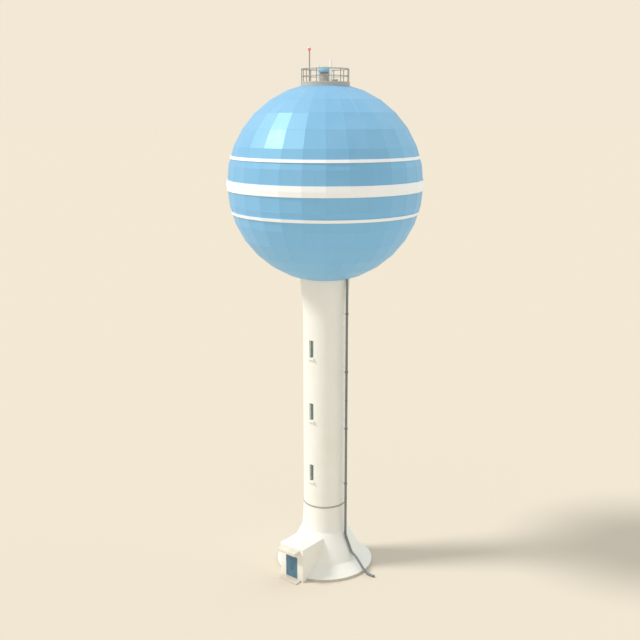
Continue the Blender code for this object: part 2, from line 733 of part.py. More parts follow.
def make_platform():
    """A plate with a rim that stands on the tank's top, and a railing of straight bays."""
    rim = DECK_RADIUS - DECK_RIM
    underside = DECK_TOP_Z - DECK_PLATE
    turned("platform_deck", [
        (DECK_HOLE_RADIUS, DECK_TOP_Z),
        (DECK_RADIUS, DECK_TOP_Z),
        (DECK_RADIUS, tank_top_at(DECK_RADIUS) + GAP),
        (rim, tank_top_at(rim) + GAP),
        (rim, underside),
        (DECK_HOLE_RADIUS, underside),
    ], GREY_PAINT)
    bay = 360.0 / RAIL_BAYS
    rails = bmesh.new()
    for height, radius in ((MID_RAIL_Z, MID_RAIL_RADIUS), (TOP_RAIL_Z, TOP_RAIL_RADIUS)):
        angles = [math.pi / 4 * (corner + 0.5) for corner in range(8)]
        profile = [(RAIL_CIRCLE + radius * math.cos(a), height + radius * math.sin(a)) for a in angles]
        add_turned(rails, profile, RAIL_BAYS, RAIL_START, 360.0)
    railing = make_object("railing", rails, GREY_PAINT)
    posts = bmesh.new()
    for post in range(RAIL_BAYS):
        azimuth = math.radians(RAIL_START + bay * post)
        x, y = RAIL_CIRCLE * math.sin(azimuth), -RAIL_CIRCLE * math.cos(azimuth)
        add_rod(posts, (x, y, DECK_TOP_Z + GAP), (x, y, TOP_RAIL_Z), POST_RADIUS, 10)
    combine(railing, "UNION", make_object("railing_posts", posts, GREY_PAINT))


def hood_outline():
    """Outside of the vent's hood, from the foot of its skirt to its crown."""
    outline = [(HOOD_RADIUS, HOOD_SKIRT_Z), (HOOD_RADIUS, HOOD_EAVES_Z)]
    for step in range(5):
        angle = math.pi / 8 * step
        outline.append((HOOD_DOME_RADIUS * math.cos(angle), HOOD_DOME_Z + HOOD_RISE * math.sin(angle)))
    outline[-1] = (0.0, HOOD_DOME_Z + HOOD_RISE)
    return outline


def make_vent():
    """A round trunk over the hole in the roof, with a domed hood on top."""
    outline = hood_outline()
    turned("vent_hood", plate_profile(outline, HOOD_PLATE, plumb_end=True), BLUE_PAINT)
    ceiling = inner_line(outline, HOOD_PLATE, False, True)
    top = height_at(ceiling, TRUNK_RADIUS) - GAP
    inner = TRUNK_RADIUS - TRUNK_WALL
    turned("vent_trunk", [
        (TRUNK_RADIUS, top),
        (TRUNK_RADIUS, tank_top_at(TRUNK_RADIUS) + GAP),
        (inner, tank_top_at(inner) + GAP),
        (inner, top),
    ], GREY_PAINT)


def make_pole(name, place, finish):
    """An upright pole on a round foot plate."""
    x, y, radius, top = place
    foot = DECK_TOP_Z + GAP
    profile = [
        (0.0, top), (0.0, foot), (radius + FLANGE_WIDTH, foot),
        (radius + FLANGE_WIDTH, foot + FLANGE_HEIGHT), (radius, foot + FLANGE_HEIGHT), (radius, top),
    ]
    return turned(name, profile, finish, sides=POLE_SIDES, place=(x, y, 0.0))


def make_poles():
    """The warning light on its mast, two vent poles and a cabinet."""
    make_pole("vent_pole", VENT_POLE, WHITE_PAINT)
    make_pole("short_pole", SHORT_POLE, WHITE_PAINT)
    make_pole("beacon_mast", BEACON_MAST, GREY_PAINT)
    x, y, radius, top = BEACON_MAST
    foot = top + GAP
    centre = foot + math.sqrt(BEACON_RADIUS ** 2 - radius ** 2)
    first = math.asin((foot - centre) / BEACON_RADIUS)
    angles = [first + (math.pi / 2 - first) * step / 9 for step in range(9)]
    ball = [(BEACON_RADIUS * math.cos(a), centre + BEACON_RADIUS * math.sin(a)) for a in angles]
    ball += [(0.0, centre + BEACON_RADIUS), (0.0, foot)]
    turned("beacon_lamp", ball, BEACON_RED, sides=16, place=(x, y, 0.0))
    x, y = CABINET_PLACE
    width, depth, height = CABINET_SIZE
    foot = DECK_TOP_Z + GAP
    top = foot + height
    cabinet = box(
        "equipment_cabinet",
        (x - width / 2, y - depth / 2, foot),
        (x + width / 2, y + depth / 2, top - CABINET_LID / 2),
        GREY_PAINT,
    )
    half_width, half_depth = width / 2 + CABINET_LID_LAP, depth / 2 + CABINET_LID_LAP
    lid = box(
        "cabinet_lid",
        (x - half_width, y - half_depth, top - CABINET_LID),
        (x + half_width, y + half_depth, top),
        GREY_PAINT,
    )
    combine(cabinet, "UNION", lid)


def main():
    clear_scene()
    make_tank()
    make_bands()
    make_shaft()
    make_neck_and_seam_ring()
    shaft = shaft_envelope()
    make_windows(shaft)
    half = PORCH_HALF_WIDTH - PORCH_WALL
    passage = box("porch_passage", (-half, -2.6, -0.1), (half, -0.5, PORCH_TOP_Z - PORCH_ROOF - 0.005))
    make_bell(passage)
    make_floor()
    make_porch(bell_envelope())
    make_jamb("left", -1)
    make_jamb("right", 1)
    make_door_head()
    make_leaf("left", -1)
    make_leaf("right", 1)
    make_pipe()
    make_brackets(shaft)
    make_platform()
    make_vent()
    make_poles()


main()
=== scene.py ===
import math
import bmesh
import bpy
from mathutils import Matrix, Quaternion, Vector


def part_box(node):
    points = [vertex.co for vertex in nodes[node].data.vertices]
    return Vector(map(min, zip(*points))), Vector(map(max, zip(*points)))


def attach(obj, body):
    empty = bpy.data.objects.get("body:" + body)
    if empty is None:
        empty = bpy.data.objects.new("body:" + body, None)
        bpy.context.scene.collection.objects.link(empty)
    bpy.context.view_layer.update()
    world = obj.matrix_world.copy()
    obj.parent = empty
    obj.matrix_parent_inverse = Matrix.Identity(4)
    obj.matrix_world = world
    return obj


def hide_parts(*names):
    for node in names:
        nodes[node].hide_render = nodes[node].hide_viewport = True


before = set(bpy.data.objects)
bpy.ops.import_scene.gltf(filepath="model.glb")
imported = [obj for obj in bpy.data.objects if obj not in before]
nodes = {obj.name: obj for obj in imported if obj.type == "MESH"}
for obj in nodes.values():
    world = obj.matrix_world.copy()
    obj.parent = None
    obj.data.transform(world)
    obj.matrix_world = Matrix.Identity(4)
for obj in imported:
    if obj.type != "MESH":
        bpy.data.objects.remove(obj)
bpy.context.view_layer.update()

scene = bpy.context.scene
mergeGap = 0.00002       # corners closer than this are one
past = 0.1               # how far a cutter runs past what it cuts
print("frame loaded:", len(nodes), "nodes")


# shared by the studio, the finishes and the pieces

def plugIn(tree, node, sockets):
    # sets each socket to a value, or links another node's output to it
    for name, value in sockets.items():
        socket = node.inputs[name]
        if isinstance(value, bpy.types.NodeSocket):
            tree.links.new(value, socket)
        else:
            socket.default_value = (*value, 1) if socket.type == "RGBA" else value


def addNode(tree, kind, sockets, **settings):
    node = tree.nodes.new("ShaderNode" + kind)
    for name, value in settings.items():
        setattr(node, name, value)
    plugIn(tree, node, sockets)
    return node


def newFinish(name):
    mat = bpy.data.materials.new(name)
    mat.use_nodes = True
    return mat.node_tree, mat.node_tree.nodes["Principled BSDF"]


def objectFrom(name, bm):
    bmesh.ops.recalc_face_normals(bm, faces=bm.faces[:])
    mesh = bpy.data.meshes.new(name)
    bm.to_mesh(mesh)
    bm.free()
    made = bpy.data.objects.new(name, mesh)
    scene.collection.objects.link(made)
    return made


# camera, floor and light

viewpoint = {
    "heading": 38.57,        # degrees, 0 looks along +Y
    "distance": 39.61,       # metres from the tower's axis
    "height": 21.494,
    "sideways": -0.233,
    "pitchDown": 13.246,
    "lens": 49.15,
}
studio = {
    "backdropColor": (0.888, 0.807, 0.665),
    "floorColor": (0.680, 0.615, 0.514),
    "floorSize": 900.0,
    "ambientColor": (1.0, 0.985, 0.95),
    "ambientStrength": 0.76,
    "keyEnergy": 2.2,
    "keyAngle": 12.0,
    "keyElevation": 47.0,
    "keyHeading": 265.5,     # where the light comes from, clockwise from the camera's heading
    "keyColor": (1.0, 0.985, 0.95),
    "fillEnergy": 0.44,
    "fillAngle": 60.0,
    "fillElevation": 30.0,
    "fillHeading": 62.0,
    "fillColor": (0.62, 0.87, 1.0),
}


def setCamera(view):
    heading = math.radians(view["heading"])
    right = Vector((math.cos(heading), math.sin(heading), 0))
    ahead = Vector((-math.sin(heading), math.cos(heading), 0))
    data = bpy.data.cameras.new("towerCamera")
    data.lens = view["lens"]
    data.clip_start, data.clip_end = 0.5, 3000
    camera = bpy.data.objects.new("towerCamera", data)
    camera.location = right * view["sideways"] - ahead * view["distance"] + Vector((0, 0, view["height"]))
    camera.rotation_euler = (math.radians(90 - view["pitchDown"]), 0, heading)
    scene.collection.objects.link(camera)
    scene.camera = camera


def setWorld(look):
    # the camera sees the backdrop's colour, the tower gets the ambient light
    world = bpy.data.worlds.new("studioWorld")
    world.use_nodes = True
    tree = world.node_tree
    tree.nodes.clear()
    light = {"Color": look["ambientColor"], "Strength": look["ambientStrength"]}
    ambient = addNode(tree, "Background", light).outputs[0]
    seen = addNode(tree, "Background", {"Color": look["backdropColor"]}).outputs[0]
    fromCamera = addNode(tree, "LightPath", {}).outputs["Is Camera Ray"]
    mix = addNode(tree, "MixShader", {0: fromCamera, 1: ambient, 2: seen})
    addNode(tree, "OutputWorld", {"Surface": mix.outputs[0]})
    scene.world = world


def addLight(look, part):
    data = bpy.data.lights.new(part + "Light", "SUN")
    data.energy = look[part + "Energy"]
    data.angle = math.radians(look[part + "Angle"])
    data.color = look[part + "Color"]
    lamp = bpy.data.objects.new(part + "Light", data)
    turn = math.radians(viewpoint["heading"]) - math.radians(look[part + "Heading"])
    away = Vector((-math.sin(turn), math.cos(turn), 0))   # from the tower towards the light
    up = math.radians(look[part + "Elevation"])
    lamp.rotation_mode = "QUATERNION"
    lamp.rotation_quaternion = (away * math.cos(up) + Vector((0, 0, math.sin(up)))).to_track_quat("Z", "Y")
    lamp.location = (away + Vector((0, 0, 1))) * 30       # only the direction of a sun counts
    scene.collection.objects.link(lamp)


def setFloor(look):
    bm = bmesh.new()
    bmesh.ops.create_grid(bm, x_segments=1, y_segments=1, size=look["floorSize"])
    floor = objectFrom("studioFloor", bm)
    tree, shader = newFinish("paleFloor")
    plugIn(tree, shader, {"Base Color": look["floorColor"], "Roughness": 1.0, "Specular IOR Level": 0.0})
    floor.data.materials.append(bpy.data.materials["paleFloor"])


scene.view_settings.view_transform = "Standard"
setCamera(viewpoint)
setWorld(studio)
addLight(studio, "key")
addLight(studio, "fill")
setFloor(studio)
print("studio set")


# finishes: paint, render, concrete, glass and steel, all from Object coordinates

def spreadOut(tree, value, ends):
    return addNode(tree, "MapRange", {"Value": value, **ends}).outputs["Result"]


def noiseMask(tree, size, low=0.2, high=0.8, detail=3.0, stretch=(1, 1, 1)):
    # 0 to 1 over the surface; size is patches per metre, stretch squeezes or draws them out
    coords = addNode(tree, "TexCoord", {})
    place = addNode(tree, "Mapping", {"Vector": coords.outputs["Object"], "Scale": stretch})
    noise = addNode(tree, "TexNoise", {"Vector": place.outputs["Vector"], "Scale": size, "Detail": detail})
    return spreadOut(tree, noise.outputs[0], {"From Min": low, "From Max": high})


def heightMask(tree, kind, output, low, high):
    # 0 to 1 as the Z of a position or a normal goes from low to high
    parts = addNode(tree, "SeparateXYZ", {0: addNode(tree, kind, {}).outputs[output]})
    return spreadOut(tree, parts.outputs["Z"], {"From Min": low, "From Max": high})


def upwardMask(tree, low, high):
    return heightMask(tree, "NewGeometry", "Normal", low, high)


def times(tree, first, second):
    return addNode(tree, "Math", {0: first, 1: second}, operation="MULTIPLY").outputs[0]


def mixColor(tree, factor, first, second):
    return addNode(tree, "Mix", {0: factor, 6: first, 7: second}, data_type="RGBA").outputs[2]


def bumpFrom(tree, height, depth, under=None):
    bump = addNode(tree, "Bump", {"Distance": depth, "Height": height})
    if under:
        tree.links.new(under, bump.inputs["Normal"])
    return bump.outputs["Normal"]


def roughnessFrom(tree, mask, low, high):
    return spreadOut(tree, mask, {"To Min": low, "To Max": high})


anyPaint = {
    "streaks": 0.22, "dust": 0.24, "dustColor": (0.60, 0.56, 0.48), "roughness": 0.55, "roughSpread": 0.15,
    "grain": 300.0, "grainDepth": 0.00004, "waves": 0.0002, "gloss": 0.5, "glossTint": (1, 1, 1), "ior": 1.5,
}
anyWhite = {"dustColor": (0.66, 0.62, 0.52), "roughSpread": 0.12, "grain": 220.0}
doorPaint = {
    "color": (0.082, 0.195, 0.300), "faded": (0.105, 0.23, 0.33), "stain": (0.05, 0.08, 0.10),
    "dust": 0.20, "dustColor": (0.30, 0.33, 0.33),
    "roughness": 0.42, "roughSpread": 0.16, "grain": 420.0, "grainDepth": 0.00003,
}
paints = {
    "ballBlue": {
        "color": (0.195, 0.450, 0.728), "faded": (0.215, 0.472, 0.740), "stain": (0.16, 0.35, 0.53),
        # painted light: the underside colour is a deeper blue standing in for cool light from below
        "paintedCoolUnderside": (0.222, 0.520, 0.880), "gloss": 1.0, "glossTint": (0.55, 0.96, 1.0), "ior": 1.6,
        "streaks": 0.10, "dust": 0.10, "dustColor": (0.50, 0.60, 0.66),
        "roughness": 0.41, "roughSpread": 0.05, "grain": 260.0, "waves": 0.0001,
    },
    "towerWhite": {
        **anyWhite, "color": (0.90, 0.895, 0.845), "faded": (0.875, 0.865, 0.81), "stain": (0.60, 0.57, 0.49),
        "streaks": 0.07, "dust": 0.12, "roughness": 0.50, "waves": 0.0006,
    },
    "bandWhite": {
        **anyWhite, "color": (0.96, 0.98, 1.0), "faded": (0.95, 0.97, 0.985), "stain": (0.66, 0.65, 0.60),
        "streaks": 0.06, "dust": 0.10, "roughness": 0.46, "waves": 0.0004,
    },
    "fittingGrey": {
        "color": (0.46, 0.455, 0.425), "faded": (0.52, 0.51, 0.475), "stain": (0.27, 0.25, 0.21),
        "dust": 0.30, "dustColor": (0.55, 0.52, 0.45),
    },
    "ringGrey": {
        "color": (0.42, 0.40, 0.345), "faded": (0.47, 0.45, 0.395), "stain": (0.28, 0.26, 0.22),
        "streaks": 0.20, "roughness": 0.50, "roughSpread": 0.12,
    },
    "pipeGrey": {
        "color": (0.19, 0.215, 0.215), "faded": (0.235, 0.26, 0.255), "stain": (0.12, 0.11, 0.09),
        "streaks": 0.30, "dust": 0.04, "dustColor": (0.30, 0.28, 0.25),
        "roughness": 0.62, "roughSpread": 0.18, "grain": 350.0, "grainDepth": 0.00003,
    },
    "hoodTeal": {
        "color": (0.365, 0.635, 0.630), "faded": (0.395, 0.665, 0.655), "stain": (0.22, 0.36, 0.37),
        "streaks": 0.16, "dustColor": (0.50, 0.60, 0.62),
        "roughness": 0.46, "roughSpread": 0.14, "grain": 260.0, "waves": 0.0003,
    },
    "mastGrey": {
        "color": (0.36, 0.32, 0.30), "faded": (0.40, 0.36, 0.335), "stain": (0.22, 0.17, 0.14),
        "dust": 0.10, "dustColor": (0.50, 0.47, 0.42),
    },
    "edgeCream": {
        "color": (0.56, 0.52, 0.44), "faded": (0.61, 0.57, 0.49), "stain": (0.30, 0.26, 0.20),
        "streaks": 0.25,
    },
    "doorBlue": doorPaint,
    # painted shade: a near-black blue for the grooves' sides, standing in for their shade
    "doorGroovePaintedShade": {
        **doorPaint, "color": (0.035, 0.075, 0.115), "faded": (0.045, 0.09, 0.13), "roughness": 0.6,
    },
}
wallRenders = {
    "porchRender": {
        "color": (0.89, 0.875, 0.795), "faded": (0.855, 0.84, 0.76), "stain": (0.54, 0.50, 0.42),
        "streaks": 0.10, "splash": 0.45, "splashHeight": 0.30,
        "roughness": 0.80, "trowel": 0.0014, "sand": 0.00012,
    },
    # painted shade: darker than the porch render, standing in for the shadow along the bell's foot
    "curbRender": {
        "color": (0.64, 0.605, 0.52), "faded": (0.59, 0.555, 0.475), "stain": (0.42, 0.385, 0.32),
        "streaks": 0.15, "splash": 0.40, "splashHeight": 0.20,
        "roughness": 0.85, "trowel": 0.0014, "sand": 0.00015,
    },
}
concretes = {
    "stepConcrete": {"color": (0.72, 0.655, 0.555), "dark": (0.62, 0.56, 0.47), "pore": (0.38, 0.34, 0.28)},
    "canopyConcrete": {"color": (0.79, 0.765, 0.67), "dark": (0.71, 0.67, 0.57), "pore": (0.48, 0.44, 0.37)},
}
metals = {
    "zincSteel": {
        "color": (0.45, 0.44, 0.405), "dull": (0.39, 0.38, 0.35), "spangle": 70.0, "stretch": (1, 1, 1),
        "rust": 0.18, "rustColor": (0.30, 0.20, 0.12), "roughness": 0.45, "metallic": 0.35,
    },
    "brushedSteel": {
        "color": (0.62, 0.61, 0.59), "dull": (0.50, 0.50, 0.48), "spangle": 60.0, "stretch": (12, 12, 1),
        "rust": 0.05, "rustColor": (0.35, 0.24, 0.15), "roughness": 0.26, "metallic": 1.0,
    },
    "handleSteel": {
        "color": (0.16, 0.165, 0.17), "dull": (0.11, 0.115, 0.12), "spangle": 60.0, "stretch": (12, 12, 1),
        "rust": 0.10, "rustColor": (0.20, 0.13, 0.09), "roughness": 0.38, "metallic": 0.7,
    },
}
# painted shade and reflection: the pane's dark teal stands in for the shaded inside and the sky's reflection
panes = {"windowPanePaintedShadeReflection": {"color": (0.10, 0.21, 0.22), "film": (0.34, 0.42, 0.41)}}
lenses = {
    "lampRed": {
        "color": (0.80, 0.17, 0.14), "haze": (0.84, 0.36, 0.31), "glow": (0.90, 0.16, 0.12),
        "glowStrength": 0.22,
    },
}


def paint(name, look):
    # rolled or sprayed paint: faded patches, rain streaks, dust on what faces up, a fine orange peel
    look = {**anyPaint, **look}
    tree, shader = newFinish(name)
    patches = noiseMask(tree, size=0.9, low=0.38, high=0.66, detail=4.0)
    color = mixColor(tree, patches, look["color"], look["faded"])
    if "paintedCoolUnderside" in look:      # painted light: what faces the ground is painted a deeper, bluer colour standing in for cool light from below
        color = mixColor(tree, upwardMask(tree, -0.45, 0.15), look["paintedCoolUnderside"], color)
    streaks = noiseMask(tree, size=5.0, low=0.52, high=0.80, detail=6.0, stretch=(1, 1, 0.07))
    color = mixColor(tree, times(tree, streaks, look["streaks"]), color, look["stain"])
    grit = noiseMask(tree, size=14.0, low=0.30, high=0.75, detail=5.0)
    dust = times(tree, upwardMask(tree, 0.25, 0.95), times(tree, grit, look["dust"]))
    scuffs = noiseMask(tree, size=3.0, low=0.35, high=0.70, detail=6.0)
    waves = bumpFrom(tree, noiseMask(tree, size=6.0, detail=2.0), look["waves"])
    plugIn(tree, shader, {
        "Base Color": mixColor(tree, dust, color, look["dustColor"]),
        "Roughness": roughnessFrom(tree, scuffs, look["roughness"], look["roughness"] + look["roughSpread"]),
        "Normal": bumpFrom(tree, noiseMask(tree, size=look["grain"], detail=2.0), look["grainDepth"], waves),
        "Specular IOR Level": look["gloss"], "Specular Tint": look["glossTint"], "IOR": look["ior"],
    })


def wallRender(name, look):
    # trowelled render with a painted face, darker near the ground where rain splashes
    tree, shader = newFinish(name)
    patches = noiseMask(tree, size=1.6, low=0.35, high=0.70, detail=5.0)
    color = mixColor(tree, patches, look["color"], look["faded"])
    streaks = noiseMask(tree, size=8.0, low=0.55, high=0.82, detail=6.0, stretch=(1, 1, 0.08))
    color = mixColor(tree, times(tree, streaks, look["streaks"]), color, look["stain"])
    spots = noiseMask(tree, size=22.0, low=0.35, high=0.70, detail=6.0)
    splash = times(tree, heightMask(tree, "TexCoord", "Object", look["splashHeight"], 0.0), spots)
    sweeps = noiseMask(tree, size=9.0, low=0.25, high=0.75, stretch=(1, 1, 1.6))
    trowel = bumpFrom(tree, sweeps, look["trowel"])
    plugIn(tree, shader, {
        "Base Color": mixColor(tree, times(tree, splash, look["splash"]), color, look["stain"]),
        "Roughness": roughnessFrom(tree, patches, look["roughness"], 0.95),
        "Normal": bumpFrom(tree, noiseMask(tree, size=190.0), look["sand"], trowel),
        "Specular IOR Level": 0.3,
    })


def concreteFinish(name, look):
    # cloudy, with small dark pores
    tree, shader = newFinish(name)
    clouds = noiseMask(tree, size=4.0, low=0.30, high=0.72, detail=7.0)
    color = mixColor(tree, clouds, look["color"], look["dark"])
    pores = noiseMask(tree, size=120.0, low=0.62, high=0.74)
    sand = bumpFrom(tree, noiseMask(tree, size=160.0, detail=4.0), 0.00016)
    plugIn(tree, shader, {
        "Base Color": mixColor(tree, times(tree, pores, 0.55), color, look["pore"]),
        "Roughness": roughnessFrom(tree, clouds, 0.78, 0.94),
        "Normal": bumpFrom(tree, pores, -0.0003, sand),
    })


def paneGlass(name, look):
    # dark glass, its teal colour painted to stand in for the shaded inside of the shaft and the sky's
    # reflection, with a thin film of dirt, slightly rolled
    tree, shader = newFinish(name)
    film = noiseMask(tree, size=7.0, low=0.35, high=0.75, detail=5.0, stretch=(1, 1, 0.35))
    plugIn(tree, shader, {
        "Base Color": mixColor(tree, times(tree, film, 0.35), look["color"], look["film"]),
        "Roughness": roughnessFrom(tree, film, 0.05, 0.22),
        "Normal": bumpFrom(tree, noiseMask(tree, size=5.0, detail=1.0), 0.0012),
        "Specular IOR Level": 0.75,
    })


def lensPlastic(name, look):
    tree, shader = newFinish(name)
    haze = noiseMask(tree, size=40.0, low=0.35, high=0.75, detail=4.0)
    plugIn(tree, shader, {
        "Base Color": mixColor(tree, times(tree, haze, 0.30), look["color"], look["haze"]),
        "Roughness": roughnessFrom(tree, haze, 0.14, 0.34), "Coat Weight": 0.4, "Coat Roughness": 0.1,
        "Emission Color": look["glow"], "Emission Strength": look["glowStrength"],
    })


def metalFinish(name, look):
    # bare or zinc-coated steel, with spangle and a brushed or cloudy roughness
    tree, shader = newFinish(name)
    spangle = noiseMask(tree, size=look["spangle"], low=0.30, high=0.70, stretch=look["stretch"])
    color = mixColor(tree, spangle, look["color"], look["dull"])
    stains = noiseMask(tree, size=9.0, low=0.58, high=0.80, detail=5.0, stretch=(1, 1, 0.25))
    plugIn(tree, shader, {
        "Base Color": mixColor(tree, times(tree, stains, look["rust"]), color, look["rustColor"]),
        "Roughness": roughnessFrom(tree, spangle, look["roughness"], look["roughness"] + 0.16),
        "Normal": bumpFrom(tree, spangle, 0.0002),
        "Metallic": look["metallic"],
    })


for mixFinish, looks in (
    (paint, paints), (wallRender, wallRenders), (concreteFinish, concretes), (paneGlass, panes),
    (lensPlastic, lenses), (metalFinish, metals),
):
    for name, look in looks.items():
        mixFinish(name, look)
print("finishes mixed")


# making helpers

def addPiece(name, bm, finish, replaced=(), body="tower", sharp=30.0):
    # finish is one material's name, or a list of them in the order of the faces' indices
    bmesh.ops.remove_doubles(bm, verts=bm.verts[:], dist=mergeGap)
    piece = objectFrom(name, bm)
    names = finish if isinstance(finish, list) else [finish]
    for item in names:
        piece.data.materials.append(bpy.data.materials[item])
    piece.data.shade_smooth()
    piece.data.set_sharp_from_angle(angle=math.radians(sharp))
    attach(piece, body)
    if replaced:
        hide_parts(*replaced)


def repaint(node, finish):
    nodes[node].data.materials.clear()
    nodes[node].data.materials.append(bpy.data.materials[finish])


def copyOf(node):
    # the CAD solid with its triangles merged back into flat faces
    bm = bmesh.new()
    bm.from_mesh(nodes[node].data)
    bmesh.ops.remove_doubles(bm, verts=bm.verts[:], dist=mergeGap)
    bmesh.ops.dissolve_limit(
        bm, angle_limit=math.radians(0.6), use_dissolve_boundaries=False,
        verts=bm.verts[:], edges=bm.edges[:],
    )
    return bm


def bevelEdges(bm, edges, width):
    bmesh.ops.bevel(
        bm, geom=edges, offset=width, offset_type="OFFSET", segments=2, profile=0.5,
        affect="EDGES", clamp_overlap=True, material=-1,
    )


def soften(bm, width, sharp=30.0):
    limit = math.radians(sharp)
    bevelEdges(bm, [edge for edge in bm.edges if edge.is_manifold and edge.calc_face_angle(0) > limit], width)


def softCopy(node, width, sharp=30.0):
    bm = copyOf(node)
    soften(bm, width, sharp)
    return bm


def addBox(bm, low, high, turn=None):
    size = Vector(high) - Vector(low)
    place = Matrix.Translation((Vector(high) + Vector(low)) / 2) @ Matrix.Diagonal((*size, 1.0))
    if turn is not None:
        place = turn @ place
    return bmesh.ops.create_cube(bm, size=1.0, matrix=place)["verts"]


def boxShape(low, high, softness=0.0):
    bm = bmesh.new()
    addBox(bm, low, high)
    if softness:
        soften(bm, softness)
    return bm


def addRod(bm, start, end, radius, sides, endRadius=None):
    start, end = Vector(start), Vector(end)
    turn = (end - start).to_track_quat("Z", "Y").to_matrix().to_4x4()
    bmesh.ops.create_cone(
        bm, cap_ends=True, segments=sides, radius1=radius, radius2=radius if endRadius is None else endRadius,
        depth=(end - start).length, matrix=Matrix.Translation((start + end) / 2) @ turn,
    )


def addTurned(bm, at, along, profile, sides):
    # rods and cones end to end along a line, from an outline of (distance, radius)
    at, along = Vector(at), Vector(along)
    for (near, nearRadius), (far, farRadius) in zip(profile, profile[1:]):
        if far > near:
            addRod(bm, at + along * near, at + along * far, nearRadius, sides, farRadius)


def addSpun(bm, profile, steps, centre=(0.0, 0.0), start=0.0, closed=True):
    # turns an outline of (radius, height) about an upright axis
    first = math.radians(start - 90.0)
    cx, cy = centre
    verts = [bm.verts.new((cx + r * math.cos(first), cy + r * math.sin(first), z)) for r, z in profile]
    ends = list(zip(verts, profile))
    pairs = zip(ends, ends[1:] + (ends[:1] if closed else []))
    # an edge that lies on the axis itself is left out
    edges = [bm.edges.new((a, b)) for (a, p), (b, q) in pairs if max(p[0], q[0]) > mergeGap / 2]
    bmesh.ops.spin(
        bm, geom=verts + edges, cent=(cx, cy, 0), axis=(0, 0, 1),
        angle=math.radians(360), steps=steps, use_merge=True,
    )
    bmesh.ops.remove_doubles(bm, verts=bm.verts[:], dist=mergeGap)


def addSwept(bm, route, radius, sides):
    # a round bar along a route, grown from its first end face
    route = [Vector(point) for point in route]
    ahead = [(b - a).normalized() for a, b in zip(route, route[1:])]
    facing = [ahead[0]] + [(a + b).normalized() for a, b in zip(ahead, ahead[1:])] + [ahead[-1]]
    turn = facing[0].to_track_quat("Z", "Y")
    place = Matrix.Translation(route[0]) @ turn.to_matrix().to_4x4()
    ring = bmesh.ops.create_circle(bm, cap_ends=True, segments=sides, radius=radius, matrix=place)["verts"]
    face = [f for f in ring[0].link_faces if len(f.verts) == sides][0]
    for i in range(1, len(route)):
        grown = bmesh.ops.extrude_face_region(bm, geom=[face], use_keep_orig=(i == 1))
        face = [item for item in grown["geom"] if isinstance(item, bmesh.types.BMFace)][0]
        turn = facing[i - 1].rotation_difference(facing[i]) @ turn
        after = Matrix.Translation(route[i]) @ turn.to_matrix().to_4x4()
        bmesh.ops.transform(bm, matrix=after @ place.inverted(), verts=face.verts[:])
        place = after


def bentRoute(points, reach, steps):
    # straight runs joined by arcs that start a set length before each corner
    points = [Vector(point) for point in points]
    route = points[:1]
    for before, corner, after in zip(points, points[1:], points[2:]):
        first = corner + (before - corner).normalized() * reach
        last = corner + (after - corner).normalized() * reach
        for step in range(steps + 1):
            t = step / steps
            route.append(first * (1 - t) ** 2 + corner * 2 * t * (1 - t) + last * t ** 2)
    return route + points[-1:]


def easedOutline(points, reach, steps):
    # the same rounding for an outline of (radius, height), with a point close beside each arc
    eased = bentRoute(points, reach, steps)
    held = [eased[0]]
    for before, at, after in zip(eased, eased[1:], eased[2:]):
        if (at - before).length > reach * 2:
            held.append(at + (before - at).normalized() * reach * 0.5)
        held.append(at)
        if (after - at).length > reach * 2:
            held.append(at + (after - at).normalized() * reach * 0.5)
    return [tuple(p) for p in held + [eased[-1]]]


def offsetOutline(points, thickness):
    # a rising outline moved towards the axis
    moved = []
    for i, (r, z) in enumerate(points):
        before = Vector(points[max(i - 1, 0)])
        after = Vector(points[min(i + 1, len(points) - 1)])
        along = (after - before).normalized()
        moved.append((r - along.y * thickness, z + along.x * thickness))
    return moved


def cutAway(bm, cutters):
    # takes each cutter's space out of the shape
    shape = objectFrom("shape", bm)
    tools = [objectFrom("cutter", cutter) for cutter in cutters]
    for tool in tools:
        boolean = shape.modifiers.new("cut", "BOOLEAN")
        boolean.operation = "DIFFERENCE"
        boolean.object = tool
        boolean.solver = "EXACT"
    bpy.context.view_layer.update()
    depsgraph = bpy.context.evaluated_depsgraph_get()
    result = bmesh.new()
    result.from_mesh(shape.evaluated_get(depsgraph).to_mesh())
    for obj in [shape] + tools:
        mesh = obj.data
        bpy.data.objects.remove(obj)
        bpy.data.meshes.remove(mesh)
    return result


def azimuthTurn(degrees):
    # turns something built at the front (-Y) round to an azimuth
    return Matrix.Rotation(math.radians(degrees), 4, "Z")


def onCircle(radius, degrees, z):
    # 0 degrees is the front, 90 the +X side
    angle = math.radians(degrees)
    return Vector((radius * math.sin(angle), -radius * math.cos(angle), z))


def addBolt(bm, at, outward, size):
    # a hexagon head on a washer, standing on a surface; size is the head's radius and height
    (radius, height), sunk = size, -0.001
    outward = Vector(outward).normalized()
    addTurned(bm, at, outward, [(sunk, radius * 1.45), (height * 0.25, radius * 1.45)], 12)
    addTurned(bm, at, outward, [(sunk, radius), (height, radius * 0.92)], 6)


def addBoltRing(bm, count, radius, z, size, outward=None, first=0.5, centre=(0, 0)):
    # bolts round an upright axis, facing away from it unless outward says otherwise
    for i in range(count):
        azimuth = 360.0 / count * (i + first)
        at = Vector((*centre, 0)) + onCircle(radius, azimuth, z)
        addBolt(bm, at, outward or onCircle(1, azimuth, 0), size)


# ball

ball = {
    "sides": 28, "rows": 16, "radius": 4.40, "centreZ": 18.45, "weldWidth": 0.010,
    "bandSoftness": 0.006, "bandProud": 0.035, "bolt": (0.009, 0.006), "boltInset": 0.036,
    "boltOffset": 0.36,      # share of a facet's width, from its middle
}


def ballPoint(row):
    angle = -math.pi / 2 + math.pi * row / ball["rows"]
    return ball["radius"] * math.cos(angle), ball["centreZ"] + ball["radius"] * math.sin(angle)


def ballRadiusAt(z):
    for row in range(ball["rows"]):
        (r0, z0), (r1, z1) = ballPoint(row), ballPoint(row + 1)
        if z0 <= z <= z1:
            return r0 + (r1 - r0) * (z - z0) / (z1 - z0)
    return 0.0


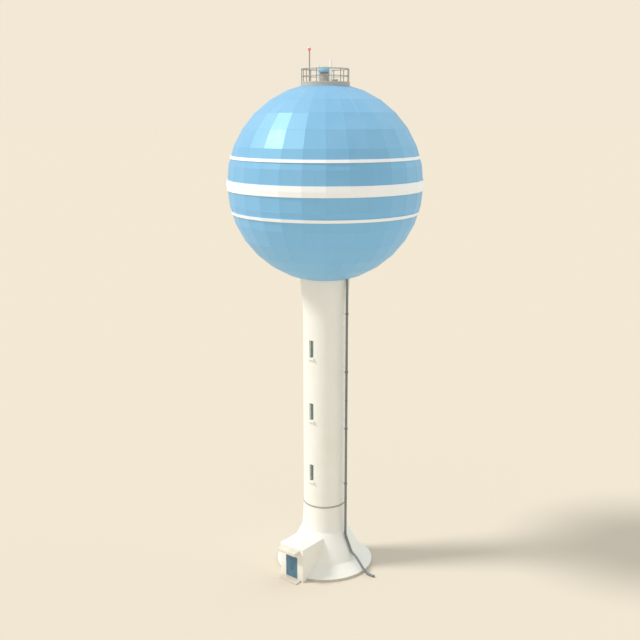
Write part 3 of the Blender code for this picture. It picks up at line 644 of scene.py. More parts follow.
def makeBall():
    for node in ("tank_bowl", "tank_lower_belt", "tank_upper_belt", "tank_roof"):
        addPiece(node.replace("tank_", "ball_"), copyOf(node), "ballBlue", (node,), sharp=4)
    # weld beads along the joints between the plates
    welds = bmesh.new()
    addSpun(welds, [ballPoint(row) for row in range(1, ball["rows"])], ball["sides"], closed=False)
    bmesh.ops.recalc_face_normals(welds, faces=welds.faces[:])
    bmesh.ops.wireframe(
        welds, faces=welds.faces[:], thickness=ball["weldWidth"] / 2, offset=0.0,
        use_replace=True, use_boundary=False, use_even_offset=True,
    )
    addPiece("ballWelds", welds, "ballBlue", sharp=50)


def makeBands():
    facet = 360.0 / ball["sides"]
    inset, near = ball["boltInset"], 0.02
    for node in ("band_lower", "band_middle", "band_upper"):
        low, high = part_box(node)
        hoop = softCopy(node, ball["bandSoftness"], 40)
        addPiece(node.replace("_", "Hoop_"), hoop, "bandWhite", (node,), sharp=8)
        # the wide middle band has two rows of bolts
        heights = [low.z + inset, high.z - inset] if node == "band_middle" else [(low.z + high.z) / 2]
        fixings = bmesh.new()
        for side in range(ball["sides"]):
            middle = facet * (side + 0.5)
            for z in heights:
                slope = (ballRadiusAt(z + near) - ballRadiusAt(z - near)) / (near * 2)
                for offset in (-facet * ball["boltOffset"], facet * ball["boltOffset"]):
                    across = math.cos(math.radians(facet / 2)) / math.cos(math.radians(offset))
                    at = onCircle((ballRadiusAt(z) + ball["bandProud"]) * across, middle + offset, z)
                    addBolt(fixings, at, onCircle(1, middle, -slope), ball["bolt"])
        addPiece(node.replace("_", "Bolts_"), fixings, "bandWhite", sharp=25)


makeBall()
makeBands()
print("ball and bands made")


# stem: the shaft, its neck and the windows up its front

stem = {
    "fineSides": 112, "radius": 1.02, "plate": 0.010, "footZ": 3.235, "headZ": 12.67,
    "neckRadius": 1.166, "neckZ": 14.2315, "neckEase": 0.22, "neckSteps": 6,
    "girthSeams": (6.415, 9.455), "beadHeight": 0.0025, "beadWidth": 0.014,
    "longSeams": ((3.235, 6.415, 160), (6.415, 9.455, 285), (9.455, 12.67, 128)),
    "longBeadRadius": 0.005, "longBeadSunk": 0.0015, "longBeadEnd": 0.01,
}
windows = {
    "centresZ": (4.89, 7.94, 10.97), "halfWidth": 0.113, "halfHeight": 0.415, "linerPlate": 0.012,
    "cutY": (-1.3, -0.6), "softness": 0.0022, "glassFaceY": -0.90,
    "sashBorder": 0.013, "sashDepth": 0.010, "sashGap": 0.0005, "sashSoftness": 0.002,
}


def girthBead(z, radius, width, height):
    half = width / 2
    return [(radius, z - half), (radius + height * 0.8, z - half / 2), (radius + height, z),
            (radius + height * 0.8, z + half / 2), (radius, z + half)]


def makeStem():
    radius, plate, neck = stem["radius"], stem["plate"], (stem["neckRadius"], stem["neckZ"])
    outer = [(radius, stem["footZ"])]
    for z in stem["girthSeams"]:
        outer += girthBead(z, radius, stem["beadWidth"], stem["beadHeight"])
    flare = bentRoute([outer[0], (radius, stem["headZ"]), neck], stem["neckEase"], stem["neckSteps"])
    outer += [tuple(p) for p in flare[1:]]
    inner = [(neck[0] - plate, neck[1]), (radius - plate, stem["headZ"]), (radius - plate, stem["footZ"])]
    shell = bmesh.new()
    addSpun(shell, outer + inner, stem["fineSides"])
    half = windows["halfWidth"] + windows["linerPlate"]
    tall = windows["halfHeight"] + windows["linerPlate"]
    front, back = windows["cutY"]
    openings = [boxShape((-half, front, z - tall), (half, back, z + tall)) for z in windows["centresZ"]]
    plates = ("shaft_lower", "shaft_middle", "shaft_upper", "neck_cone")
    addPiece("stemShell", cutAway(shell, openings), "towerWhite", plates, sharp=12)
    # upright weld beads, staggered from one section to the next
    beads = bmesh.new()
    sunk, end = radius - stem["longBeadSunk"], stem["longBeadEnd"]
    for low, high, azimuth in stem["longSeams"]:
        foot, head = onCircle(sunk, azimuth, low + end), onCircle(sunk, azimuth, high - end)
        addRod(beads, foot, head, stem["longBeadRadius"], 8)
    addPiece("stemWelds", beads, "towerWhite", sharp=50)


def makeWindows():
    gap = windows["sashGap"]
    size = Matrix.Diagonal((windows["halfWidth"] - gap, windows["halfHeight"] - gap, 1, 1))
    for number, centreZ in enumerate(windows["centresZ"], 1):
        frameNode = f"window_frame_{number}"
        surround = softCopy(frameNode, windows["softness"])
        addPiece(f"windowSurround_{number}", surround, "towerWhite", (frameNode,), sharp=35)
        # a slim sash that holds the pane against the liner
        sash = bmesh.new()
        place = Matrix.Translation((0, windows["glassFaceY"] - 0.0003, centreZ))
        upright = place @ Matrix.Rotation(math.radians(90), 4, "X")
        bmesh.ops.create_grid(sash, x_segments=1, y_segments=1, size=1.0, matrix=upright @ size)
        pane = sash.faces[:]
        bmesh.ops.inset_region(
            sash, faces=pane, thickness=windows["sashBorder"], use_boundary=True, use_even_offset=True,
        )
        bmesh.ops.delete(sash, geom=pane, context="FACES_ONLY")
        grown = bmesh.ops.extrude_face_region(sash, geom=sash.faces[:], use_keep_orig=True)
        raised = [item for item in grown["geom"] if isinstance(item, bmesh.types.BMVert)]
        bmesh.ops.translate(sash, verts=raised, vec=(0, -windows["sashDepth"], 0))
        bmesh.ops.recalc_face_normals(sash, faces=sash.faces[:])
        soften(sash, windows["sashSoftness"], 40)
        addPiece(f"windowSash_{number}", sash, "fittingGrey", sharp=35)
        repaint(f"window_glass_{number}", "windowPanePaintedShadeReflection")


makeStem()
makeWindows()
print("stem and windows made")


# bell, its curb and the clamp ring

bell = {
    "outline": ((2.319, 0.1323), (1.75, 0.54), (1.091, 1.892), (1.02, 3.1497)),
    "plate": 0.016, "kinkEase": 0.025, "kinkSteps": 5,
    "ringRadius": 1.034, "ringDepth": 0.036, "ringZ": (3.150, 3.235), "ringSoftness": 0.004,
    "ringBolts": 56, "ringBolt": (0.007, 0.005),
    "curbRadius": 2.319, "curbWidth": 0.12, "curbHeight": 0.132, "curbSoftness": 0.008,
}
porch = {
    "halfWidth": 0.68, "wall": 0.08, "frontY": -2.52, "backY": -0.80, "topZ": 1.68, "roof": 0.12,
    "doorHalfWidth": 0.3475, "doorTopZ": 1.19, "softness": 0.010, "bellGap": 0.004,
    "passageY": (-2.6, -0.5), "passageGap": 0.005,
    "flashingHeight": 0.045, "flashingProud": 0.004, "flashingWidth": 0.035, "flashingSoftness": 0.003,
}


def bellOutline():
    return easedOutline(bell["outline"], bell["kinkEase"], bell["kinkSteps"])


def bellSolid(shrink):
    # the space inside the bell's outside, for trimming what runs into it
    outer, underground = bellOutline(), -0.2
    solid = bmesh.new()
    profile = [(0.0, underground), (outer[0][0] - shrink, underground)] + [(r - shrink, z) for r, z in outer]
    addSpun(solid, profile + [(0.0, outer[-1][1])], stem["fineSides"])
    return solid


def passageShape():
    inside = porch["halfWidth"] - porch["wall"]
    top = porch["topZ"] - porch["roof"] - porch["passageGap"]
    front, back = porch["passageY"]
    return boxShape((-inside, front, -past), (inside, back, top))


def makeBell():
    outer = bellOutline()
    shell = bmesh.new()
    addSpun(shell, outer + offsetOutline(outer, bell["plate"])[::-1], stem["fineSides"])
    plates = ("bell_front_right", "bell_back_right", "bell_back_left", "bell_front_left")
    addPiece("bellShell", cutAway(shell, [passageShape()]), "towerWhite", plates)
    soft, radius, top = bell["curbSoftness"], bell["curbRadius"], bell["curbHeight"]
    inner = radius - bell["curbWidth"]
    curb = bmesh.new()
    addSpun(curb, [(radius, 0.0), (radius, top - soft), (radius - soft * 0.3, top - soft * 0.3),
                   (radius - soft, top), (inner, top), (inner, 0.0)], stem["fineSides"])
    # the curb takes a render darkened as painted shade for the bell's foot
    addPiece("bellCurb", cutAway(curb, [passageShape()]), "curbRender", ("base_curb",))
    (low, high), radius, soft = bell["ringZ"], bell["ringRadius"], bell["ringSoftness"]
    inner = radius - bell["ringDepth"]
    ring = bmesh.new()
    addSpun(ring, [(inner, low), (radius - soft, low), (radius, low + soft), (radius, high - soft),
                   (radius - soft, high), (inner, high)], stem["fineSides"])
    addPiece("clampRing", ring, "ringGrey", ("seam_ring",))
    fixings = bmesh.new()
    addBoltRing(fixings, bell["ringBolts"], radius, (low + high) / 2, bell["ringBolt"])
    addPiece("clampRingBolts", fixings, "ringGrey", sharp=25)


makeBell()
print("bell made")


# porch, canopy, step and threshold

canopy = {
    "halfWidth": 0.51, "reach": 0.40, "undersideZ": 1.445,
    "softness": 0.008, "dripInset": 0.03, "dripWidth": 0.012, "dripDepth": 0.008,
}
step = {
    "softness": 0.008, "grooves": 3, "grooveWidth": 0.010, "grooveDepth": 0.004,
    "grooveStart": 0.035, "groovePitch": 0.028, "grooveEnd": 0.04,
}
threshold = {"low": (-0.324, -2.5195, 0.0953), "high": (0.324, -2.462, 0.0983), "softness": 0.0008}


def makePorch():
    half, wall, front, top = porch["halfWidth"], porch["wall"], porch["frontY"], porch["topZ"]
    door = porch["doorHalfWidth"]
    shell = boxShape((-half, front, 0.0), (half, porch["backY"], top), porch["softness"])
    hollow = boxShape((-half + wall, front + wall, -past), (half - wall, -0.3, top - porch["roof"]))
    doorway = boxShape((-door, front - past, -past), (door, front + past * 2, porch["doorTopZ"]))
    shell = cutAway(shell, [hollow, doorway, bellSolid(porch["bellGap"])])
    walls = ("left_wall", "right_wall", "front_left", "front_right", "lintel", "roof")
    addPiece("porchShell", shell, "porchRender", tuple("porch_" + wall for wall in walls), sharp=35)
    # a thin folded edge trim round the three free sides of the roof
    out, inset = porch["flashingProud"], porch["flashingWidth"]
    trim = boxShape(
        (-half - out, front - out, top - porch["flashingHeight"]), (half + out, porch["backY"], top + out),
        porch["flashingSoftness"],
    )
    core = boxShape((-half + inset, front + inset, top - 0.5), (half - inset, 0.5, top + 0.5))
    addPiece("porchRoofTrim", cutAway(trim, [core, bellSolid(porch["bellGap"])]), "towerWhite", sharp=35)


def makeCanopy():
    # a slab with a drip groove under its three free edges
    inset, width = canopy["dripInset"], canopy["dripWidth"]
    side, front = canopy["halfWidth"] - inset, porch["frontY"] - canopy["reach"] + inset
    low, high = canopy["undersideZ"] - 0.05, canopy["undersideZ"] + canopy["dripDepth"]
    back, apart = porch["frontY"] - 0.05, 0.0001
    grooves = [
        boxShape((-side, front, low), (side, front + width, high)),
        boxShape((-side, front + apart, low), (-side + width, back, high)),
        boxShape((side - width, front + apart, low), (side, back, high)),
    ]
    slab = cutAway(softCopy("porch_canopy", canopy["softness"]), grooves)
    addPiece("canopySlab", slab, "canopyConcrete", ("porch_canopy",), sharp=35)


def makeStep():
    low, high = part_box("porch_step")
    end = step["grooveEnd"]
    cutters = []
    for i in range(step["grooves"]):
        y = low.y + step["grooveStart"] + i * step["groovePitch"]
        cutters.append(boxShape((low.x + end, y, high.z - step["grooveDepth"]),
                                (high.x - end, y + step["grooveWidth"], high.z + 0.05)))
    slab = cutAway(softCopy("porch_step", step["softness"]), cutters)
    addPiece("entryStep", slab, "stepConcrete", ("porch_step",), sharp=35)
    repaint("ground_floor", "stepConcrete")
    strip = boxShape(threshold["low"], threshold["high"], threshold["softness"])
    addPiece("doorThreshold", strip, "brushedSteel", sharp=35)


makePorch()
makeCanopy()
makeStep()
print("porch made")


# double door

door = {
    "softness": 0.0015, "pinX": 0.3235, "pinY": -2.532, "hingeZ": (0.32, 0.95),
    "barrelRadius": 0.0084, "barrelSides": 20, "leafBarrel": 0.025, "jambBarrel": (0.0255, 0.0475),
    "capProud": 0.0012, "capHeight": 0.004, "capRadius": 0.005,
    "faceY": -2.515, "backY": -2.485, "leafInnerX": 0.0025, "leafOuterX": 0.3205,
    "boards": 4, "grooveDepth": 0.0055,
    "boltRows": (0.19, 0.44, 0.86, 1.07), "stud": ((-0.001, 0.0065), (0.0018, 0.0065), (0.0036, 0.0032)),
    "ledgeInset": 0.035, "ledgeHeight": 0.064, "ledgeDepth": 0.014,
    "braceWidth": 0.050, "braceInset": 0.03, "braceSunk": 0.002,
}
handle = {
    "x": 0.040, "lowZ": 0.55, "highZ": 0.75, "reach": 0.045, "radius": 0.008, "bend": 0.020,
    "rose": ((-0.0005, 0.017), (0.003, 0.017), (0.003, 0.0145), (0.006, 0.010)),
    "plateHalf": 0.013, "plateDrop": (0.115, 0.045), "plateDepth": 0.003, "plateSoftness": 0.001,
    "lockDrop": 0.068, "lock": ((0.002, 0.008), (0.006, 0.008)),
}


def grooveSplit(bm):
    # painted shade: the slanted sides of the grooves between boards take a darker paint standing in for the
    # shade in the grooves
    for face in bm.faces:
        inFront = face.calc_center_median().y < door["faceY"] + door["grooveDepth"]
        slanted = 0.25 < abs(face.normal.x) < 0.9 and abs(face.normal.z) < 0.2
        face.material_index = 1 if inFront and slanted else 0


def makeDoorFrame():
    for node in ("door_jamb_left", "door_jamb_right", "door_head"):
        rail = softCopy(node, door["softness"])
        addPiece(node.replace("door_", "frame_"), rail, "doorBlue", (node,), sharp=35)
    # the jambs' barrels, above and below those of the leaves, with a rounded cap at each end
    (near, far), radius = door["jambBarrel"], door["barrelRadius"]
    barrel = [(near, radius), (far, radius), (far, radius + door["capProud"]),
              (far + door["capHeight"], door["capRadius"])]
    pins = bmesh.new()
    for sign in (-1, 1):
        for z in door["hingeZ"]:
            for upOrDown in (1, -1):
                at = (sign * door["pinX"], door["pinY"], z)
                addTurned(pins, at, (0, 0, upOrDown), barrel, door["barrelSides"])
    addPiece("hingePins", pins, "zincSteel")


def makeLedges(sign):
    # ledges and a brace across the inside of the boards
    ledges = bmesh.new()
    back, deep, tall = door["backY"], door["ledgeDepth"], door["ledgeHeight"] / 2
    near = sign * (door["leafInnerX"] + door["ledgeInset"])
    far = sign * (door["leafOuterX"] - door["ledgeInset"])
    for z in door["boltRows"]:
        addBox(ledges, (min(near, far), back, z - tall), (max(near, far), back + deep, z + tall))
    foot = Vector((far - sign * door["braceInset"], 0, door["boltRows"][1] + tall))
    head = Vector((near + sign * door["braceInset"], 0, door["boltRows"][2] - tall))
    run = head - foot
    lean = Matrix.Translation((foot + head) / 2) @ Matrix.Rotation(math.atan2(run.x, run.z), 4, "Y")
    half, long = door["braceWidth"] / 2, run.length / 2
    addBox(ledges, (-half, back, -long), (half, back + deep - door["braceSunk"], long), lean)
    bmesh.ops.recalc_face_normals(ledges, faces=ledges.faces[:])
    soften(ledges, door["softness"], 40)
    return ledges


def makeHandle(sign):
    # pull handle on two round plates, and a lock below it
    x, y, out = sign * handle["x"], door["faceY"], door["faceY"] - handle["reach"]
    low, high = handle["lowZ"], handle["highZ"]
    bar = bentRoute([(x, y, low), (x, out, low), (x, out, high), (x, y, high)], handle["bend"], 7)
    grip = bmesh.new()
    addSwept(grip, bar, handle["radius"], 18)
    for z in (low, high):
        addTurned(grip, (x, y, z), (0, -1, 0), handle["rose"], 28)
    half, deep, (bottom, top) = handle["plateHalf"], handle["plateDepth"], handle["plateDrop"]
    plate = addBox(grip, (x - half, y - deep, low - bottom), (x + half, y + 0.0005, low - top))
    addTurned(grip, (x, y, low - handle["lockDrop"]), (0, -1, 0), handle["lock"], 20)
    edges = dict.fromkeys(edge for vert in plate for edge in vert.link_edges)
    bevelEdges(grip, list(edges), handle["plateSoftness"])
    return grip


def makeLeaf(side, sign):
    body = f"{side}_leaf"
    leaf = copyOf(f"door_leaf_{side}")
    grooveSplit(leaf)
    soften(leaf, door["softness"], 50)
    addPiece(f"leafBoards_{side}", leaf, ["doorBlue", "doorGroovePaintedShade"], (f"door_leaf_{side}",), body, 25)
    barrels, half = bmesh.new(), door["leafBarrel"]
    for z in door["hingeZ"]:
        barrel = [(-half, door["barrelRadius"]), (half, door["barrelRadius"])]
        addTurned(barrels, (sign * door["pinX"], door["pinY"], z), (0, 0, 1), barrel, door["barrelSides"])
    addPiece(f"leafBarrels_{side}", barrels, "zincSteel", (), body)
    # coach bolts through each board, at the ledges behind
    studs = bmesh.new()
    board = (door["leafOuterX"] - door["leafInnerX"]) / door["boards"]
    for z in door["boltRows"]:
        for i in range(door["boards"]):
            x = sign * (door["leafInnerX"] + board * (i + 0.5))
            addTurned(studs, (x, door["faceY"], z), (0, -1, 0), door["stud"], 14)
    addPiece(f"leafStuds_{side}", studs, "doorBlue", (), body, 20)
    addPiece(f"leafLedges_{side}", makeLedges(sign), "doorBlue", (), body)
    addPiece(f"pullHandle_{side}", makeHandle(sign), "handleSteel", (f"door_handle_{side}",), body)


makeDoorFrame()
makeLeaf("left", -1)
makeLeaf("right", 1)
print("door made")


# overflow pipe and its brackets

pipe = {
    "radius": 0.0575, "sides": 32, "bendReach": 0.12, "bendSteps": 8,
    "route": ((1.272, 14.262), (1.272, 1.70), (1.660, 0.86), (1.880, 0.76), (2.380, 0.22),
              (2.600, 0.060), (2.990, 0.060)),
    "mouthRadius": 0.047, "mouthDepth": 0.12, "jointsZ": (3.55, 5.72, 8.48, 11.25, 13.55),
    "sleeveProud": 0.0065, "sleeveHalf": 0.0165, "sleeveTaper": 0.006, "sleeveGap": 0.012,
    "nozzleRadius": 0.105, "nozzleSunk": 0.002, "nozzleHeight": 0.012,
    "nozzleBolts": 8, "nozzleBoltCircle": 0.086, "nozzleBolt": (0.007, 0.007),
}
clamp = {
    "centresZ": (4.34, 7.10, 9.87, 12.63), "collarRadius": 0.078, "softness": 0.003, "paintEdge": 0.004,
    "armBoltBack": 0.028, "armHalf": 0.025, "armBolt": (0.008, 0.007),
    "lugHalfThick": 0.006, "lugReach": 0.012, "lugIn": 0.018, "lugOut": 0.010, "lugHalfHeight": 0.03,
    "lugBoltReach": 0.009, "lugBoltRise": 0.017, "lugBolt": (0.006, 0.006),
}


def makePipe():
    points = [Vector((x, 0, z)) for x, z in pipe["route"]]
    radius, sides, reach = pipe["radius"], pipe["sides"], pipe["bendReach"]
    run = bmesh.new()
    addSwept(run, bentRoute(points, reach, pipe["bendSteps"]), radius, sides)
    bore = bmesh.new()
    mouth, inward = points[-1], Vector((pipe["mouthDepth"], 0, 0))
    addRod(bore, mouth - inward, mouth + Vector((past, 0, 0)), pipe["mouthRadius"], sides)
    addPiece("overflowRun", cutAway(run, [bore]), "pipeGrey", ("overflow_pipe",))
    # socket sleeves on both sides of each bend, and the joints of the long upright run
    outer, half, taper = radius + pipe["sleeveProud"], pipe["sleeveHalf"], pipe["sleeveTaper"]
    sleeve = [(-half - taper, radius), (-half, outer), (half, outer), (half + taper, radius)]
    spots = [(Vector((points[0].x, 0, z)), Vector((0, 0, 1))) for z in pipe["jointsZ"]]
    for a, b in zip(points, points[1:]):
        along = (b - a).normalized()
        if a != points[0]:
            spots.append((a + along * (reach + pipe["sleeveGap"]), along))
        if b != points[-1]:
            spots.append((b - along * (reach + pipe["sleeveGap"]), along))
    sleeves = bmesh.new()
    for at, along in spots:
        if at.z - outer > 0.001:     # clear of the ground
            addTurned(sleeves, at, along, sleeve, sides)
    addPiece("pipeSleeves", sleeves, "pipeGrey", sharp=25)
    # the nozzle plate where the pipe leaves the ball
    lowRow, highRow = Vector(ballPoint(1)), Vector(ballPoint(2))
    along = (highRow - lowRow).normalized()
    outward = Vector((along.y, 0, -along.x))
    x, height = points[0].x, pipe["nozzleHeight"]
    at = Vector((x, 0, lowRow.y + along.y / along.x * (x - lowRow.x)))
    plate = [(-pipe["nozzleSunk"], pipe["nozzleRadius"]), (height, pipe["nozzleRadius"])]
    nozzle = bmesh.new()
    addTurned(nozzle, at, outward, plate, 40)
    for i in range(pipe["nozzleBolts"]):
        side = Quaternion(outward, math.radians(360 / pipe["nozzleBolts"] * (i + 0.5))) @ Vector((0, 1, 0))
        addBolt(nozzle, at + outward * height + side * pipe["nozzleBoltCircle"], outward, pipe["nozzleBolt"])
    addPiece("pipeNozzle", nozzle, "ballBlue")


def makeBrackets():
    x, collar, thick = pipe["route"][0][0], clamp["collarRadius"], clamp["lugHalfThick"]
    for number, z in enumerate(clamp["centresZ"], 1):
        node = f"pipe_bracket_{number}"
        bracket = softCopy(node, clamp["softness"], 40)
        for face in bracket.faces:
            # the arm is painted with the shaft, the collar with the pipe
            face.material_index = 1 if face.calc_center_median().x < x - collar + clamp["paintEdge"] else 0
        addPiece(f"pipeClamp_{number}", bracket, ["pipeGrey", "towerWhite"], (node,))
        fixings = bmesh.new()
        for sign in (-1, 1):
            arm = (x - collar - clamp["armBoltBack"], sign * clamp["armHalf"], z)
            addBolt(fixings, arm, (0, sign, 0), clamp["armBolt"])
            lug = sign * (collar + clamp["lugReach"])
            addBox(fixings, (x - thick, lug - clamp["lugIn"], z - clamp["lugHalfHeight"]),
                   (x + thick, lug + sign * clamp["lugOut"], z + clamp["lugHalfHeight"]))
            for rise in (-clamp["lugBoltRise"], clamp["lugBoltRise"]):
                at = (x + thick, sign * (collar + clamp["lugBoltReach"]), z + rise)
                addBolt(fixings, at, (1, 0, 0), clamp["lugBolt"])
        addPiece(f"clampBolts_{number}", fixings, "zincSteel")


makePipe()
makeBrackets()
print("pipe made")


# platform on top: deck, railing, vent, poles and cabinet

deck = {
    "radius": 1.075, "topZ": 22.875, "softness": 0.003, "seatGap": 0.0003,
    "rimBolts": 28, "rimBolt": (0.009, 0.008), "rimBoltDrop": 0.085,
    "edgeHeight": 0.045, "edgePlate": 0.006, "edgeSoftness": 0.002, "edgeLift": 0.001,
}
railing = {
    "circle": 1.043, "start": 17.0, "bays": 12, "postRadius": 0.020, "postSides": 20,
    "topZ": 23.417, "topRadius": 0.023, "midZ": 23.120, "midRadius": 0.017, "railSides": 16,
    "socketHalf": 0.020, "midSocket": 0.0235, "topSocket": 0.0245, "topSocketDrop": 0.030,
    "plateHalf": 0.040, "plateHeight": 0.008, "plateInner": 0.046, "plateOuter": 0.024,
    "footBolt": (0.007, 0.007), "footBoltApart": 0.029, "footBoltInset": 0.014,
}
vent = {
    "trunkRadius": 0.225, "trunkPlate": 0.015, "trunkGap": 0.004, "flangeReach": 0.030, "flangeHeight": 0.012,
    "weld": 0.004, "beltDrop": 0.055, "beltHeight": 0.018, "ribs": 16, "ribHalf": 0.004, "ribReach": 0.010,
    "flangeBolt": (0.007, 0.007), "fineSides": 64, "hoodRadius": 0.32, "skirtZ": 23.285, "eavesZ": 23.385,
    "domeRadius": 0.25, "domeZ": 23.412, "rise": 0.118, "domeSteps": 10, "plate": 0.012,
    "lipHeight": 0.032, "lip": ((0.004, 0.026), (-0.014, 0.0)),
    "seams": 16, "seamRadius": 0.0045, "capRadius": (0.045, 0.030), "capZ": (-0.012, 0.004),
}
poles = {
    "beaconMast": (-0.180, -0.874, 0.026, 24.14), "ventPole": (0.510, -0.269, 0.058, 23.76),
    "shortPole": (-0.498, 0.166, 0.045, 23.62), "sides": 36,
    "flangeWidth": 0.03, "flangeHeight": 0.014, "flangeSoftness": 0.002, "bolts": 6, "bolt": (0.0055, 0.006),
}
caps = {     # how far the outline stands out from the pole and how far below its top
    "dome": ((0.0, 0.03), (0.004, 0.026), (0.004, 0.010)),
    "rim": ((0.0, 0.012), (0.008, 0.010), (0.008, 0.0)),
}
beacon = {
    "radius": 0.072, "footShare": 0.40, "lensRise": 0.014, "ripple": 0.0012, "steps": 36, "sides": 40,
    "collarReach": 0.018, "collarDrop": 0.012, "collarRise": 0.004, "collarSoftness": 0.004,
}
cabinet = {
    "x": 0.765, "y": -0.320, "width": 0.24, "depth": 0.14, "height": 0.085, "softness": 0.003,
    "doorInset": 0.014, "doorProud": 0.004, "doorFoot": 0.010, "doorTop": 0.026, "doorSoftness": 0.0015,
    "hingeInset": 0.012, "hingeZ": (0.022, 0.047), "latchInset": 0.032, "latchZ": 0.035,
    "slats": 3, "slatZ": 0.022, "slatPitch": 0.010, "conduitZ": 0.04, "conduitReach": 0.035,
}


def makeDeck():
    addPiece("deckPlate", softCopy("platform_deck", deck["softness"], 40), "fittingGrey", ("platform_deck",))
    fixings = bmesh.new()
    flat = deck["radius"] * math.cos(math.pi / ball["sides"])     # to the middle of a facet
    addBoltRing(fixings, deck["rimBolts"], flat, deck["topZ"] - deck["rimBoltDrop"], deck["rimBolt"])
    addPiece("deckBolts", fixings, "zincSteel")
    # a flat bar bent round the rim, flush with the top
    soft, lift = deck["edgeSoftness"], deck["edgeLift"]
    outer, inner = deck["radius"] + deck["edgePlate"], deck["radius"] - lift
    high, low = deck["topZ"], deck["topZ"] - deck["edgeHeight"]
    edge = bmesh.new()
    addSpun(edge, [(outer, high - soft), (outer, low + soft), (outer - soft, low), (inner, low),
                   (inner, high + lift), (outer - soft, high + lift)], ball["sides"])
    addPiece("deckEdgeBar", edge, "edgeCream", sharp=5)


def makeRailing():
    circle, bays, floorZ = railing["circle"], railing["bays"], deck["topZ"]
    angles = [math.pi * 2 / railing["railSides"] * (corner + 0.5) for corner in range(railing["railSides"])]
    rails = bmesh.new()
    for z, radius in ((railing["midZ"], railing["midRadius"]), (railing["topZ"], railing["topRadius"])):
        tube = [(circle + radius * math.cos(a), z + radius * math.sin(a)) for a in angles]
        addSpun(rails, tube, bays, start=railing["start"])
    addPiece("handRails", rails, "zincSteel", ("railing",), sharp=28)
    posts, feet = bmesh.new(), bmesh.new()
    half, rise, wide = railing["socketHalf"], railing["plateHeight"], railing["plateHalf"]
    inner, outer = circle - railing["plateInner"], circle + railing["plateOuter"]
    topSocketZ = railing["topZ"] - railing["topSocketDrop"]
    for i in range(bays):
        azimuth = railing["start"] + 360.0 / bays * i
        head = onCircle(circle, azimuth, railing["topZ"] + 0.004)
        addRod(posts, onCircle(circle, azimuth, floorZ), head, railing["postRadius"], railing["postSides"])
        for z, radius in ((railing["midZ"], railing["midSocket"]), (topSocketZ, railing["topSocket"])):
            at = (head.x, head.y, z)
            addTurned(posts, at, (0, 0, 1), [(-half, radius), (half, radius)], railing["postSides"])
        turn = azimuthTurn(azimuth)
        addBox(feet, (-wide, -outer, floorZ), (wide, -inner, floorZ + rise), turn)
        for side in (-railing["footBoltApart"], railing["footBoltApart"]):
            at = turn @ Vector((side, -inner - railing["footBoltInset"], floorZ + rise))
            addBolt(feet, at, (0, 0, 1), railing["footBolt"])
    addPiece("railPosts", posts, "zincSteel")
    addPiece("railFeet", feet, "zincSteel")


def hoodLine():
    # outside of the hood: skirt, sloping shoulder and dome
    points = [(vent["hoodRadius"], vent["skirtZ"]), (vent["hoodRadius"], vent["eavesZ"])]
    for i in range(vent["domeSteps"]):
        angle = math.pi / 2 * i / vent["domeSteps"]
        points.append((vent["domeRadius"] * math.cos(angle), vent["domeZ"] + vent["rise"] * math.sin(angle)))
    return points + [(0.0, vent["domeZ"] + vent["rise"])]


def makeHood():
    line, plate = hoodLine(), vent["plate"]
    (radius, skirtZ), peakZ = line[0], line[-1][1]
    inside = [(radius - plate, skirtZ)] + [(max(r - plate, 0.0), z - plate) for r, z in line[1:]]
    lip = [(radius, skirtZ + vent["lipHeight"])] + [(radius + out, skirtZ + up) for out, up in vent["lip"]]
    hood = bmesh.new()
    addSpun(hood, inside + line[:0:-1] + lip, vent["fineSides"])
    for face in hood.faces:
        face.material_index = 1 if face.calc_center_median().z > vent["domeZ"] - 0.002 else 0
    addPiece("ventHood", hood, ["ballBlue", "hoodTeal"], ("vent_hood",), sharp=22)
    ribs = bmesh.new()
    for i in range(vent["seams"]):
        azimuth = 360.0 / vent["seams"] * (i + 0.5)
        addSwept(ribs, [onCircle(r, azimuth, z + 0.001) for r, z in line[2:-1]], vent["seamRadius"], 8)
    cap = list(zip(vent["capZ"], vent["capRadius"]))
    addTurned(ribs, (0, 0, peakZ), (0, 0, 1), cap, 32)
    addPiece("hoodRibs", ribs, "hoodTeal", sharp=40)


def makeTrunk():
    low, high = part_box("vent_trunk")
    radius, inner = vent["trunkRadius"], vent["trunkRadius"] - vent["trunkPlate"]
    flange, belt = radius + vent["flangeReach"], radius + vent["flangeReach"] * 0.6
    weld, headZ = vent["weld"], high.z - vent["trunkGap"]
    foot = deck["topZ"] + deck["seatGap"]
    seat, upper = foot + vent["flangeHeight"], vent["skirtZ"] - vent["beltDrop"]
    over = upper + vent["beltHeight"]
    trunk = bmesh.new()
    addSpun(trunk, [
        (inner, low.z), (radius, low.z), (radius, foot), (flange, foot), (flange, seat),
        (radius + weld, seat), (radius, seat + weld), (radius, upper), (belt, upper + weld),
        (belt, over - weld), (radius, over), (radius, headZ), (inner, headZ),
    ], vent["fineSides"])
    addPiece("ventTrunk", trunk, "fittingGrey", ("vent_trunk",))
    # stiffening ribs, with a flange bolt between each two
    fixings, half = bmesh.new(), vent["ribHalf"]
    for i in range(vent["ribs"]):
        turn = azimuthTurn(360.0 / vent["ribs"] * i)
        addBox(fixings, (-half, -radius - vent["ribReach"], seat), (half, -radius + 0.002, upper), turn)
    circle = radius + vent["flangeReach"] * 0.62
    addBoltRing(fixings, vent["ribs"], circle, seat, vent["flangeBolt"], outward=(0, 0, 1))
    addPiece("ventRibs", fixings, "fittingGrey")


